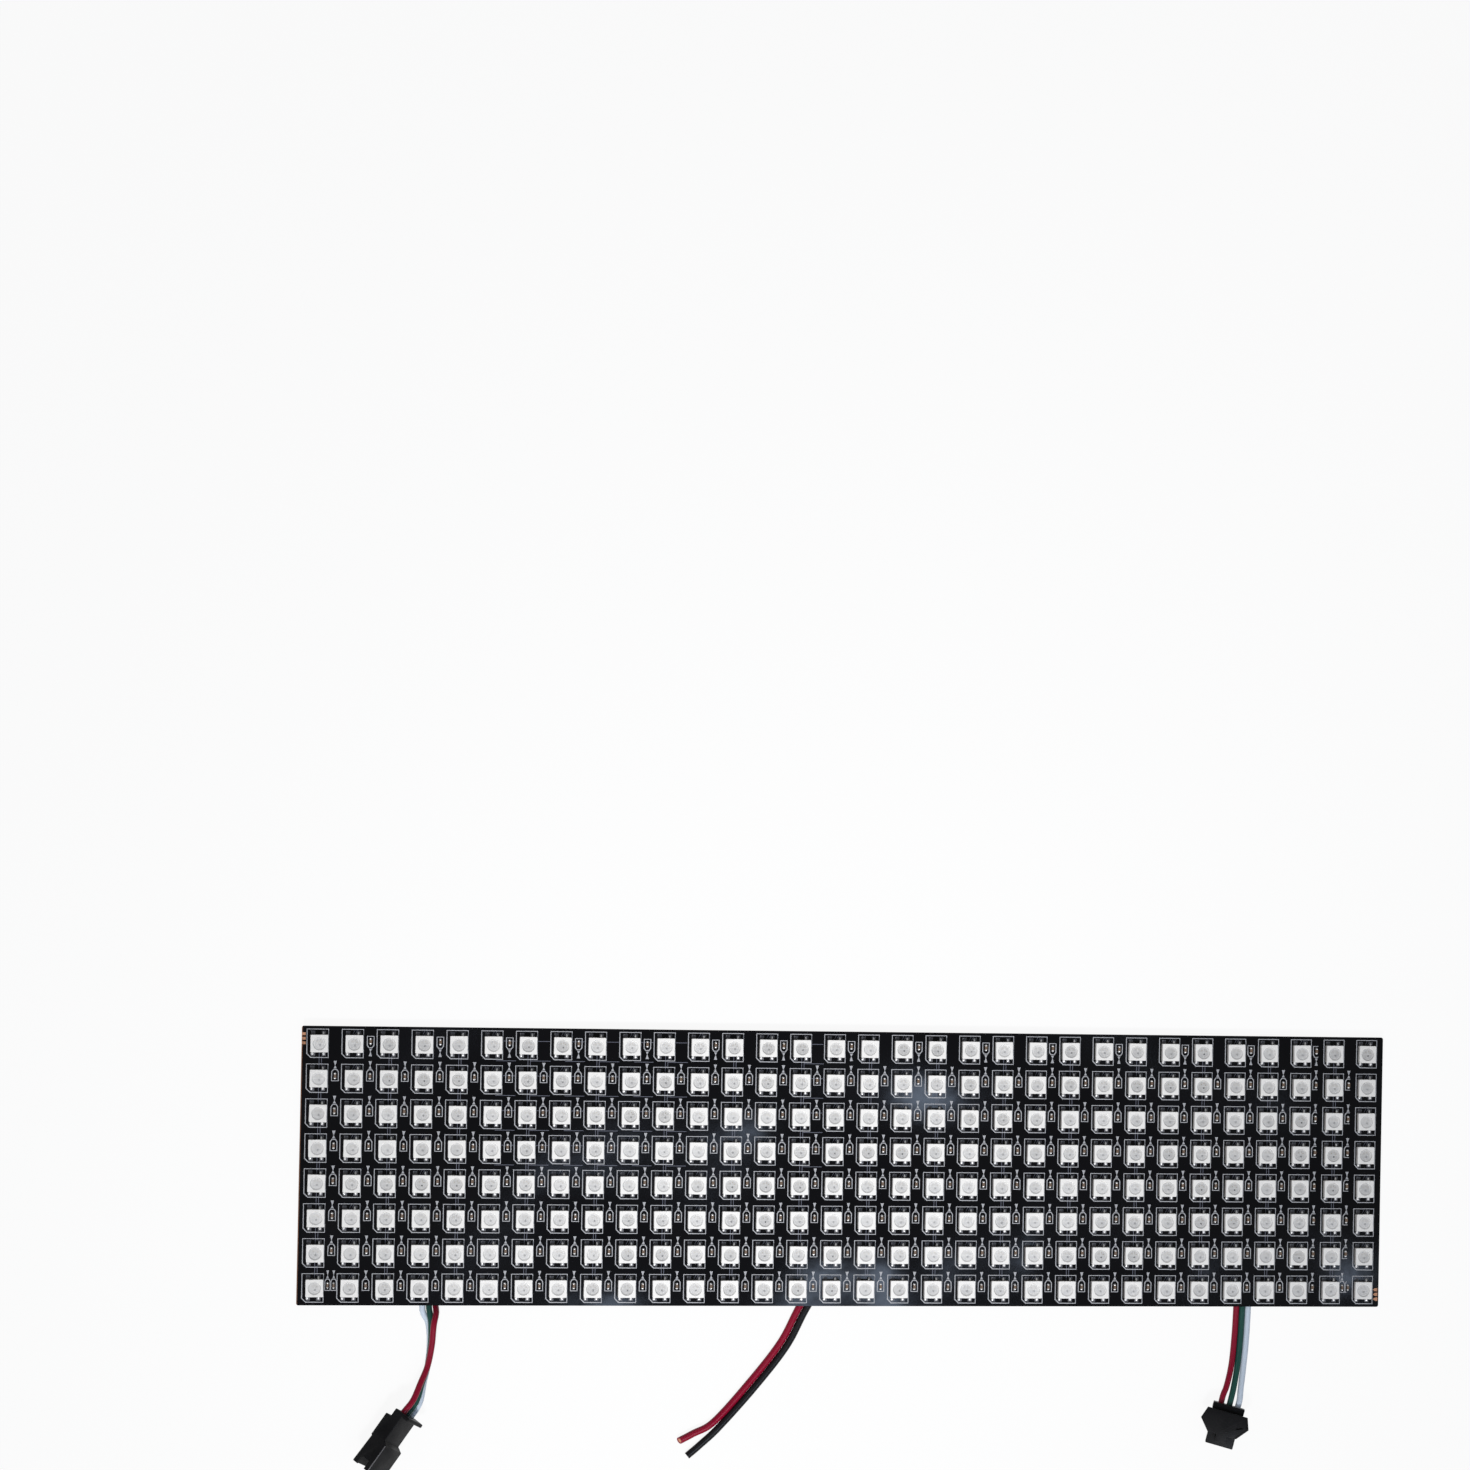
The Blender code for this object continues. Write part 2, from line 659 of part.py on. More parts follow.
def into_holes(route):
    """The route carried straight on to where the wires end, inside their housing's holes."""
    end = Vector(route[-1])
    forward = Vector(route[-1][:3]) - Vector(route[-2][:3])
    forward.z = 0
    reach = forward.normalized() * WIRE_ENTRY
    return [*route, (end[0] + reach.x, end[1] + reach.y, *route[-1][2:])]


def make_data_lead(lead, route, wire_materials, solder):
    for colour, offset in (("red", 1), ("green", 0), ("white", -1)):
        make_wire(f"{lead}_wire_{colour}", into_holes(route), offset, DATA_WIRE_RADIUS, wire_materials[colour])
        make_joint(
            f"{lead}_solder_{colour}",
            route,
            offset,
            DATA_JOINT_WIDTH,
            DATA_JOINT_DEPTH,
            DATA_CORE_RADIUS,
            solder,
        )


def make_power_lead(wire_materials, solder):
    for colour, offset in (("red", 0.5), ("black", -0.5)):
        make_wire(f"power_wire_{colour}", POWER_ROUTE, offset, POWER_WIRE_RADIUS, wire_materials[colour])
        make_joint(
            f"power_solder_{colour}",
            POWER_ROUTE,
            offset,
            POWER_JOINT_WIDTH,
            BACK_Z,
            POWER_CORE_RADIUS,
            solder,
        )


def build():
    clear_scene()
    black_film = finish("black_film", (0.012, 0.012, 0.015), 0.35)
    housing_plastic = finish("black_nylon", (0.018, 0.018, 0.02), 0.5)
    brass = finish("brass", (0.78, 0.58, 0.25), 0.3, 1.0)
    solder = finish("solder", (0.75, 0.75, 0.76), 0.25, 1.0)
    wires = {
        "red": finish("red_insulation", (0.45, 0.02, 0.05), 0.4),
        "green": finish("green_insulation", (0.03, 0.18, 0.12), 0.4),
        "white": finish("white_insulation", (0.75, 0.78, 0.82), 0.4),
        "black": finish("black_insulation", (0.015, 0.015, 0.017), 0.4),
    }
    make_flex_board(black_film)
    make_data_lead("input", INPUT_ROUTE, wires, solder)
    make_power_lead(wires, solder)
    make_data_lead("output", OUTPUT_ROUTE, wires, solder)

    input_frame = connector_frame("input_connector", INPUT_ROUTE)
    make_receptacle(housing_plastic, input_frame)
    output_frame = connector_frame("output_connector", OUTPUT_ROUTE)
    make_plug(housing_plastic, output_frame)
    for colour, place in contact_places():
        make_pin(colour, place, brass, input_frame)
        make_socket(colour, place, brass, output_frame)


build()
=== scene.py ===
"""The looks of a flexible LED matrix panel: 32 by 8 light packages on a black film, with three leads.

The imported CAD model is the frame. Lengths are in metres. The origin is on the table under the panel's
centre, +X runs along the long side, +Y towards the top edge and +Z out of the lit face.
"""

import math
import random

import bmesh
import bpy
from mathutils import Matrix, Vector


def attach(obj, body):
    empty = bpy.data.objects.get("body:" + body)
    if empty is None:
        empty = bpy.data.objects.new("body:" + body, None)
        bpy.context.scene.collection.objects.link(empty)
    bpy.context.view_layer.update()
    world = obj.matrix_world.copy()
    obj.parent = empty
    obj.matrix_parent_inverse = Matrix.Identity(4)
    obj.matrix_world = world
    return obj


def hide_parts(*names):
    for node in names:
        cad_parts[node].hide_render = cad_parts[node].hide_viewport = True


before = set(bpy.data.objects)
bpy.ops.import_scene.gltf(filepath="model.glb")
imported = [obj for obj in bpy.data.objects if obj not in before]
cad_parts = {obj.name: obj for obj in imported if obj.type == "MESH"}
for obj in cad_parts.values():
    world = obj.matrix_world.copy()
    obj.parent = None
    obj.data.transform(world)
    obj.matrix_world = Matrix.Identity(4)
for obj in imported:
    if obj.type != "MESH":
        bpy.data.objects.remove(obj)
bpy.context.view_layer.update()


# CAMERA
# It stands where the photographer stood: well to the left of the panel's middle and a little above it,
# looking almost straight down at the sheet on its table.
camera = bpy.data.objects.new("camera", bpy.data.cameras.new("camera"))
bpy.context.scene.collection.objects.link(camera)
bpy.context.scene.camera = camera
camera.data.sensor_width = 36.0
camera.data.lens = 97.96
camera.location = (-0.1997, 0.1130, 1.1546)
camera.rotation_euler = [math.radians(angle) for angle in (0.471, -8.075, 1.156)]
bpy.context.scene.view_settings.view_transform = "Standard"


# TABLE AND LIGHT
# A plain white table in a studio. Soft boxes hang on all four sides, a small bluish one is what the film
# mirrors, and a lamp with a narrow cone lights the panel's middle more than its ends. The room is dim, so
# that the glossy black film stays dark, but the camera sees the table and the air above it as white.
TABLE_GLOW = 0.925


def put_in_scene(name, data):
    thing = bpy.data.objects.new(name, data)
    bpy.context.scene.collection.objects.link(thing)
    return thing


def add_node(owner, kind, **values):
    """A shader node of a finish or the room. Each value goes to a setting, or to the socket of that name."""
    made = owner.node_tree.nodes.new(kind)
    for key, value in values.items():
        if key in made.bl_rna.properties:
            setattr(made, key, value)
        else:
            made.inputs[key.replace("_", " ")].default_value = value
    return made


def connect(tree, *pairs):
    """Links shader sockets, each pair a source and a target."""
    for source, target in pairs:
        tree.links.new(source, target)


def plain_finish(name, colour, roughness, metallic=0.0):
    """A new material and its shader, with the values that are the same all over."""
    material = bpy.data.materials.new(name)
    material.use_nodes = True
    shader = material.node_tree.nodes["Principled BSDF"]
    shader.inputs["Base Color"].default_value = (*colour, 1.0)
    shader.inputs["Roughness"].default_value = roughness
    shader.inputs["Metallic"].default_value = metallic
    return material, shader


table_top = bmesh.new()
bmesh.ops.create_grid(table_top, x_segments=1, y_segments=1, size=20.0)
table_mesh = bpy.data.meshes.new("table")
table_top.to_mesh(table_mesh)
table_top.free()
table = put_in_scene("table", table_mesh)

table_white, table_shader = plain_finish("table_white", (0.72, 0.72, 0.72), 0.7)
backdrop = add_node(table_white, "ShaderNodeEmission", Strength=1.0, Color=(1.0, 1.0, 1.0, 1.0))
rays = add_node(table_white, "ShaderNodeLightPath")
direct = add_node(table_white, "ShaderNodeMath", operation="MAXIMUM")
seen = add_node(table_white, "ShaderNodeMath", operation="MAXIMUM")
share = add_node(table_white, "ShaderNodeMath", operation="MULTIPLY")
share.inputs[1].default_value = TABLE_GLOW
blend = add_node(table_white, "ShaderNodeMixShader")
connect(
    table_white.node_tree,
    (rays.outputs["Is Camera Ray"], direct.inputs[0]),
    (rays.outputs["Is Glossy Ray"], direct.inputs[1]),
    (direct.outputs[0], seen.inputs[0]),
    (rays.outputs["Is Transmission Ray"], seen.inputs[1]),
    (seen.outputs[0], share.inputs[0]),
    (share.outputs[0], blend.inputs[0]),
    (table_shader.outputs[0], blend.inputs[1]),
    (backdrop.outputs[0], blend.inputs[2]),
    (blend.outputs[0], table_white.node_tree.nodes["Material Output"].inputs["Surface"]),
)
table_mesh.materials.append(table_white)

room = bpy.data.worlds.new("room")
bpy.context.scene.world = room
room.use_nodes = True
dim_air = room.node_tree.nodes["Background"]
dim_air.inputs["Color"].default_value = (0.95, 0.97, 1.0, 1.0)
dim_air.inputs["Strength"].default_value = 0.09
white_air = add_node(room, "ShaderNodeBackground", Color=(0.96, 0.96, 0.96, 1.0), Strength=1.0)
air_rays = add_node(room, "ShaderNodeLightPath")
air = add_node(room, "ShaderNodeMixShader")
connect(
    room.node_tree,
    (air_rays.outputs["Is Camera Ray"], air.inputs[0]),
    (dim_air.outputs[0], air.inputs[1]),
    (white_air.outputs[0], air.inputs[2]),
    (air.outputs[0], room.node_tree.nodes["World Output"].inputs["Surface"]),
)


def soft_box(name, place, size, power, colour=(1.0, 1.0, 1.0)):
    """A square soft box that hangs at a place and faces the panel."""
    lamp_data = bpy.data.lights.new(name, "AREA")
    lamp_data.shape = "SQUARE"
    lamp_data.size = size
    lamp_data.energy = power
    lamp_data.color = colour
    lamp = put_in_scene(name, lamp_data)
    lamp.location = place
    lamp.rotation_euler = (-Vector(place)).to_track_quat("-Z", "Y").to_euler()


soft_box("left_soft_box", (-1.6, 0.1, 1.5), 1.2, 5)
soft_box("lower_soft_box", (0.15, -1.35, 1.5), 1.3, 7.5)
soft_box("upper_soft_box", (-0.3, 1.5, 1.3), 1.2, 4)
soft_box("right_soft_box", (1.8, -0.4, 1.6), 1.2, 4)
soft_box("small_soft_box", (0.28, -0.66, 1.5), 0.5, 4, (0.62, 0.76, 1.0))

main_data = bpy.data.lights.new("main_lamp", "SPOT")
main_data.shadow_soft_size = 0.14
main_data.spot_size = math.radians(15)
main_data.spot_blend = 1.0
main_data.energy = 160
main_lamp = put_in_scene("main_lamp", main_data)
main_lamp.location = (-0.45, -1.1, 1.5)
main_lamp.rotation_euler = (Vector((-0.02, 0, 0)) - main_lamp.location).to_track_quat("-Z", "Y").to_euler()


# THE THREE LEADS
# Round PVC-insulated copper wires, bonded side by side: a data lead of three wires near each end of the
# panel and a power lead of two in the middle. Each is soldered to the back of the film and lies on the
# table on its way out under the film's lower edge. The insulation is swollen by a hair, so the wires touch.
HALF_LENGTH = 0.160
HALF_WIDTH = 0.040
DATA_WIRE_RADIUS = 0.00085
POWER_WIRE_RADIUS = 0.0010
SWELLING = 0.00004
DATA_BORE_RADIUS = 0.00048
POWER_BORE_RADIUS = 0.00062
RED_CUT_SLOPE = 0.5
CONTACT_PITCH = 0.0025
WIRE_ENTRY = 0.0012
INPUT_TWIST = 52
OUTPUT_TWIST = -15
INPUT_REST_Z = 0.005787
OUTPUT_REST_Z = 0.003228


# Each row is a place along a lead, as in the CAD source: x, y and height of the lead's middle, its twist
# in degrees, and the spacing of its wires. x and y run from the panel's lower corners and lower edge.
def placed(route, corner_x):
    return [(corner_x + x, y - HALF_WIDTH, *rest) for x, y, *rest in route]


INPUT_ROUTE = placed(
    [
        (0.0410, 0.0610, 0.00090, 180, 0.0027),
        (0.0410, 0.0580, 0.00090, 180, 0.0027),
        (0.0408, 0.0520, 0.00090, 180, 0.0019),
        (0.0396, 0.0340, 0.00090, 180, 0.0018),
        (0.0385, 0.0140, 0.00090, 180, 0.0018),
        (0.03815, 0.0030, 0.00092, 180, 0.0018),
        (0.0381, -0.0004, 0.00098, 179, 0.0019),
        (0.03835, -0.0024, 0.00202, 146, 0.0021),
        (0.0387, -0.0052, 0.00284, 110, 0.0020),
        (0.03875, -0.0110, 0.00278, 96, 0.0018),
        (0.03797, -0.0171, 0.00290, 85, 0.0018),
        (0.03643, -0.0218, 0.00420, 72, 0.0019),
        (0.03475, -0.0271, INPUT_REST_Z - 0.0003, 57, 0.0023),
        (0.0322, -0.0308, INPUT_REST_Z, INPUT_TWIST, CONTACT_PITCH),
    ],
    -HALF_LENGTH,
)
OUTPUT_ROUTE = placed(
    [
        (-0.0410, 0.0610, 0.00090, 0, 0.0027),
        (-0.0410, 0.0580, 0.00090, 0, 0.0027),
        (-0.0409, 0.0520, 0.00090, 0, 0.0019),
        (-0.0405, 0.0340, 0.00090, 0, 0.0018),
        (-0.0407, 0.0150, 0.00090, 0, 0.0018),
        (-0.0411, 0.0000, 0.00090, 0, 0.0018),
        (-0.0415, -0.0090, 0.00098, -2, 0.0018),
        (-0.0424, -0.0175, 0.00160, -6, 0.0018),
        (-0.0437, -0.0238, 0.00270, -12, 0.0021),
        (-0.04444, -0.0266, OUTPUT_REST_Z - 0.0001, OUTPUT_TWIST, CONTACT_PITCH),
        (-0.04506, -0.0290, OUTPUT_REST_Z, OUTPUT_TWIST, CONTACT_PITCH),
    ],
    HALF_LENGTH,
)
POWER_ROUTE = placed(
    [
        (0.0035, 0.0610, 0.00105, 0, 0.0034),
        (0.0035, 0.0580, 0.00105, 0, 0.0034),
        (0.0036, 0.0510, 0.00105, 0, 0.0022),
        (0.0028, 0.0340, 0.00105, 0, 0.0021),
        (-0.0028, 0.0155, 0.00105, 0, 0.0021),
        (-0.0124, 0.0003, 0.00105, 0, 0.0021),
        (-0.0184, -0.0113, 0.00105, 0, 0.0021),
        (-0.0278, -0.0235, 0.00105, 0, 0.0021),
        (-0.0378, -0.0347, 0.00105, 0, 0.0022),
        (-0.0435, -0.0389, 0.00105, 0, 0.0039),
        (-0.0475, -0.0416, 0.00105, 0, 0.0050),
    ],
    0.0,
)

DATA_LEADS = {"input": INPUT_ROUTE, "output": OUTPUT_ROUTE}
DATA_OFFSETS = {"red": 1, "green": 0, "white": -1}
POWER_OFFSETS = {"red": 0.5, "black": -0.5}


def route_samples(route, step):
    """Places at an even spacing along one smooth curve through a route's rows."""
    rows = [Vector(row) for row in route]
    rows = [2 * rows[0] - rows[1], *rows, 2 * rows[-1] - rows[-2]]
    fine = []
    for before, start, end, after in zip(rows, rows[1:], rows[2:], rows[3:]):
        for part in range(40):
            t = part / 40
            bend = 2 * before - 5 * start + 4 * end - after
            turn = 3 * start - before - 3 * end + after
            fine.append(0.5 * (2 * start + (end - before) * t + bend * t**2 + turn * t**3))
    fine.append(rows[-2])
    lengths = [0.0]
    for a, b in zip(fine, fine[1:]):
        lengths.append(lengths[-1] + math.dist(a[:3], b[:3]))
    count = math.ceil(lengths[-1] / step)
    samples = []
    at = 0
    for number in range(count + 1):
        wanted = lengths[-1] * number / count
        while at < len(fine) - 2 and lengths[at + 1] < wanted:
            at += 1
        samples.append(fine[at].lerp(fine[at + 1], (wanted - lengths[at]) / (lengths[at + 1] - lengths[at])))
    return samples


def wire_path(route, offset, step):
    """The middle line of one wire of a lead, offset by so many spacings from the lead's middle."""
    samples = route_samples(route, step)
    path = []
    for number, place in enumerate(samples):
        ahead = samples[min(number + 1, len(samples) - 1)]
        behind = samples[max(number - 1, 0)]
        forward = Vector((ahead[0] - behind[0], ahead[1] - behind[1], 0)).normalized()
        right = forward.cross(Vector((0, 0, 1)))
        twist = math.radians(place[3])
        across = math.cos(twist) * right + Vector((0, 0, math.sin(twist)))
        path.append(Vector(place[:3]) + offset * place[4] * across)
    return path


def into_holes(route):
    """The route carried straight on to where the wires end, inside their housing's holes."""
    reach = Vector((route[-1][0] - route[-2][0], route[-1][1] - route[-2][1])).normalized() * WIRE_ENTRY
    return [*route, (route[-1][0] + reach.x, route[-1][1] + reach.y, *route[-1][2:])]


def piece(name, shape, *finishes, slot=None, sharp=40):
    """The finished piece from a mesh in its place: smooth where it is round, riding with the panel."""
    mesh = bpy.data.meshes.new(name)
    shape.to_mesh(mesh)
    shape.free()
    mesh.shade_smooth()
    mesh.set_sharp_from_angle(angle=math.radians(sharp))
    for finish in finishes:
        mesh.materials.append(finish)
    thing = put_in_scene(name, mesh)
    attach(thing, "root")
    return thing


def grain_group():
    """Fine grain for a bump, and patches of a surface that are a little more or less matte."""
    group = bpy.data.node_groups.new("surface_grain", "ShaderNodeTree")
    for label in ("Grain Scale", "Patch Scale", "Smoothest", "Roughest"):
        group.interface.new_socket(name=label, in_out="INPUT", socket_type="NodeSocketFloat")
    for label in ("Roughness", "Height"):
        group.interface.new_socket(name=label, in_out="OUTPUT", socket_type="NodeSocketFloat")
    given = group.nodes.new("NodeGroupInput")
    result = group.nodes.new("NodeGroupOutput")
    where = group.nodes.new("ShaderNodeTexCoord")
    grain = group.nodes.new("ShaderNodeTexNoise")
    grain.inputs["Detail"].default_value = 4.0
    patches = group.nodes.new("ShaderNodeTexNoise")
    patches.inputs["Detail"].default_value = 3.0
    spread = group.nodes.new("ShaderNodeMapRange")
    spread.inputs["From Min"].default_value = 0.3
    spread.inputs["From Max"].default_value = 0.7
    connect(
        group,
        (where.outputs["Object"], grain.inputs["Vector"]),
        (where.outputs["Object"], patches.inputs["Vector"]),
        (given.outputs["Grain Scale"], grain.inputs["Scale"]),
        (given.outputs["Patch Scale"], patches.inputs["Scale"]),
        (patches.outputs["Fac"], spread.inputs["Value"]),
        (given.outputs["Smoothest"], spread.inputs["To Min"]),
        (given.outputs["Roughest"], spread.inputs["To Max"]),
        (spread.outputs["Result"], result.inputs["Roughness"]),
        (grain.outputs["Fac"], result.inputs["Height"]),
    )
    return group


surface_grain = grain_group()


def add_grain(material, shader, grain_scale, patch_scale, smoothest, roughest, depth):
    """Gives a finish its grain: the patches go to its roughness and the grain to its bump."""
    grain = add_node(material, "ShaderNodeGroup", node_tree=surface_grain)
    grain.inputs["Grain Scale"].default_value = grain_scale
    grain.inputs["Patch Scale"].default_value = patch_scale
    grain.inputs["Smoothest"].default_value = smoothest
    grain.inputs["Roughest"].default_value = roughest
    bump = add_node(material, "ShaderNodeBump", Distance=depth, Strength=1.0)
    connect(
        material.node_tree,
        (grain.outputs["Roughness"], shader.inputs["Roughness"]),
        (grain.outputs["Height"], bump.inputs["Height"]),
        (bump.outputs["Normal"], shader.inputs["Normal"]),
    )


def insulation(name, colour):
    material, shader = plain_finish(name, colour, 0.3)
    shader.inputs["Specular IOR Level"].default_value = 0.24
    add_grain(material, shader, 900.0, 150.0, 0.24, 0.40, 0.00002)
    return material


insulations = {
    "red": insulation("red_insulation", (0.200, 0.002, 0.018)),
    "green": insulation("green_insulation", (0.012, 0.060, 0.048)),
    "white": insulation("white_insulation", (0.50, 0.57, 0.66)),
    "black": insulation("black_insulation", (0.007, 0.007, 0.008)),
}


def slanted(verts, path, radius, slope):
    """Leans a wire's far end back, as side cutters leave it: its upper side ends sooner than its lower."""
    forward = (path[-1] - path[-2]).normalized()
    for corner in verts:
        corner.co -= forward * slope * (corner.co.z - path[-1].z + radius)


def make_wire(lead, colour, route, offset, radius, bore_radius, slope=0.0):
    """A tube of insulation along its route, with an open bore at each end that shows the copper."""
    path = wire_path(route, offset, 1.2 * radius)
    line = bpy.data.curves.new(f"{lead}_{colour}_line", "CURVE")
    line.dimensions = "3D"
    line.bevel_depth = radius
    line.bevel_resolution = 6
    spline = line.splines.new("POLY")
    spline.points.add(len(path) - 1)
    for point, place in zip(spline.points, path):
        point.co = (*place, 1.0)
    holder = bpy.data.objects.new(line.name, line)
    tube = bmesh.new()
    tube.from_mesh(bpy.data.meshes.new_from_object(holder))
    bpy.data.objects.remove(holder)
    bmesh.ops.remove_doubles(tube, verts=tube.verts, dist=1e-6)
    open_edges = [edge for edge in tube.edges if edge.is_boundary]
    caps = bmesh.ops.holes_fill(tube, edges=open_edges, sides=0)["faces"]
    bmesh.ops.recalc_face_normals(tube, faces=tube.faces)
    for cap in caps:
        inwards = cap.normal * (-3 * radius)
        if (cap.calc_center_median() - path[-1]).length < radius:
            slanted(cap.verts, path, radius, slope)
            cap.normal_update()
        bmesh.ops.inset_region(tube, faces=[cap], thickness=radius - bore_radius)
        bore = bmesh.ops.extrude_discrete_faces(tube, faces=[cap])["faces"]
        bmesh.ops.translate(tube, vec=inwards, verts=bore[0].verts)
    wire = piece(f"{lead}_{colour}_insulation", tube, insulations[colour], slot=f"{colour}_insulation")
    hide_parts(f"{lead}_wire_{colour}")
    return wire, path


data_wires = {}
for lead, route in DATA_LEADS.items():
    for colour, offset in DATA_OFFSETS.items():
        data_wires[lead, colour] = make_wire(
            lead, colour, into_holes(route), offset, DATA_WIRE_RADIUS + SWELLING, DATA_BORE_RADIUS
        )
power_wires = {}
for colour, offset in POWER_OFFSETS.items():
    slope = RED_CUT_SLOPE if colour == "red" else 0.0
    power_wires[colour] = make_wire(
        "power", colour, POWER_ROUTE, offset, POWER_WIRE_RADIUS + SWELLING, POWER_BORE_RADIUS, slope
    )


# LONG HOUSING OF THE INPUT LEAD
# A black nylon moulding: a block that holds three pin contacts, stepping up to a shroud that takes the
# short housing's nose. It has slots at its mouth and a window for the latch, and lies on one long edge. A
# lighter nylon on the shroud's rounded edge that stands up is a painted highlight along that ridge.
MOULD_EDGE = 0.00025
MATING_CLEARANCE = 0.0001
CONTACT_HOLE_RADIUS = 0.00105
PLUG_LENGTH = 0.0122
PLUG_WIDTH = 0.0082
PLUG_TOP = 0.00235
PLUG_BOTTOM = 0.00215
SHROUD_LENGTH = 0.0190
SHROUD_WALL = 0.0008
SHROUD_STEP_AT = 0.0090
SHROUD_STEP_LENGTH = 0.0012
CAVITY_WIDTH = PLUG_WIDTH + 2 * MATING_CLEARANCE
CAVITY_TOP = PLUG_BOTTOM + MATING_CLEARANCE
CAVITY_BOTTOM = PLUG_TOP + MATING_CLEARANCE
CAVITY_FLOOR = SHROUD_LENGTH - 0.0084
SHROUD_HALF = CAVITY_WIDTH / 2 + SHROUD_WALL
SHROUD_TOP = CAVITY_TOP + SHROUD_WALL
SHROUD_BOTTOM = CAVITY_BOTTOM + SHROUD_WALL
BODY_HALF = SHROUD_HALF - 0.0007
BODY_TOP = SHROUD_TOP - 0.0016
BODY_BOTTOM = -SHROUD_BOTTOM - 0.0004
NECK_LENGTH = 0.0027
LIP_LENGTH = 0.0011
LIP_HEIGHT = 0.0024
LATCH_START = 0.01175
LATCH_LENGTH = 0.0016
LATCH_HALF = 0.0017
NECK_CUT = 0.0018
SLOT_DEPTH = 0.0026
SLOT_HALF = 0.0015
CRIMP_HOLE_END = 0.0071
PIN_HOLE_RADIUS = 0.0006
LEAD_IN = 0.00015
OVERRUN = 0.001

black_nylon, nylon_shader = plain_finish("black_nylon", (0.0040, 0.0040, 0.0048), 0.45)
nylon_shader.inputs["Specular IOR Level"].default_value = 0.16
add_grain(black_nylon, nylon_shader, 2200.0, 260.0, 0.40, 0.58, 0.00003)
# A lighter copy of the black nylon: a painted highlight for the shroud's upright rounded edge.
nylon_painted_highlight, nylon_highlight_shader = plain_finish("nylon_painted_highlight", (0.075, 0.072, 0.078), 0.4)
add_grain(nylon_painted_highlight, nylon_highlight_shader, 2200.0, 260.0, 0.34, 0.5, 0.00002)


def connector_matrix(route):
    """Where a connector stands: at the lead's end, with +Y out of the mating face."""
    end = Vector(route[-1][:3])
    forward = end - Vector(route[-2][:3])
    turn = Matrix.Rotation(math.atan2(-forward.x, forward.y), 4, "Z")
    return Matrix.Translation(end) @ turn @ Matrix.Rotation(-math.radians(route[-1][3]), 4, "Y")


def verts_of(parts):
    return [part for part in parts if isinstance(part, bmesh.types.BMVert)]


def edges_of(parts):
    return [part for part in parts if isinstance(part, bmesh.types.BMEdge)]


def all_of(shape):
    return shape.verts[:] + shape.edges[:] + shape.faces[:]


def put_into(shape, part):
    """Adds one mesh to another as it is, and uses it up."""
    mesh = bpy.data.meshes.new("part")
    part.to_mesh(mesh)
    part.free()
    shape.from_mesh(mesh)


def block(low, high):
    shape = bmesh.new()
    bmesh.ops.create_cube(shape, size=1.0)
    bmesh.ops.scale(shape, vec=[b - a for a, b in zip(low, high)], verts=shape.verts)
    bmesh.ops.translate(shape, vec=[(a + b) / 2 for a, b in zip(low, high)], verts=shape.verts)
    return shape


def slab(outline, thickness):
    """A flat outline, given by its corners in order, carried along a straight line."""
    shape = bmesh.new()
    base = shape.faces.new([shape.verts.new(corner) for corner in outline])
    raised = bmesh.ops.extrude_face_region(shape, geom=[base])["geom"]
    bmesh.ops.translate(shape, vec=thickness, verts=verts_of(raised))
    bmesh.ops.recalc_face_normals(shape, faces=shape.faces)
    return shape


def tapered_rod(radius, end_radius, start, end, sides=24):
    """A round bar along Y, from one radius to another."""
    shape = bmesh.new()
    bmesh.ops.create_cone(
        shape, cap_ends=True, segments=sides, radius1=radius, radius2=end_radius, depth=end - start
    )
    bmesh.ops.rotate(shape, matrix=Matrix.Rotation(-math.pi / 2, 3, "X"), verts=shape.verts)
    bmesh.ops.translate(shape, vec=(0, (start + end) / 2, 0), verts=shape.verts)
    return shape


def softened(shape, width=MOULD_EDGE):
    """The small radius that a mould leaves on every outer edge."""
    edges = [edge for edge in shape.edges if edge.calc_face_angle(0) > math.radians(30)]
    bmesh.ops.bevel(
        shape,
        geom=edges,
        offset=width,
        offset_type="OFFSET",
        affect="EDGES",
        segments=3,
        profile=0.5,
        material=-1,
    )
    return shape


def combined(shape, operation, tools):
    """A mesh with each tool joined on or cut away."""
    holders = []
    for number, part in enumerate([shape, *tools]):
        mesh = bpy.data.meshes.new(f"part_{number}")
        part.to_mesh(mesh)
        part.free()
        holders.append(put_in_scene(mesh.name, mesh))
    for tool in holders[1:]:
        step = holders[0].modifiers.new(tool.name, "BOOLEAN")
        step.operation = operation
        step.solver = "EXACT"
        step.object = tool
    graph = bpy.context.evaluated_depsgraph_get()
    result = bmesh.new()
    result.from_mesh(holders[0].evaluated_get(graph).to_mesh())
    for holder in holders:
        bpy.data.objects.remove(holder, do_unlink=True)
    return result


def moved(shape, place):
    bmesh.ops.translate(shape, vec=place, verts=shape.verts)
    return shape


def contact_hole_tools(radius, start, end, lead_in):
    """Cutters for the three contact holes, each with a flared mouth at its outer end."""
    tools = []
    for place in (CONTACT_PITCH, 0.0, -CONTACT_PITCH):
        tools.append(moved(tapered_rod(radius, radius, start, end), (place, 0, 0)))
        if lead_in:
            flare = tapered_rod(radius + 2 * lead_in, radius - lead_in, -lead_in * 2, lead_in)
            tools.append(moved(flare, (place, 0, 0)))
    return tools


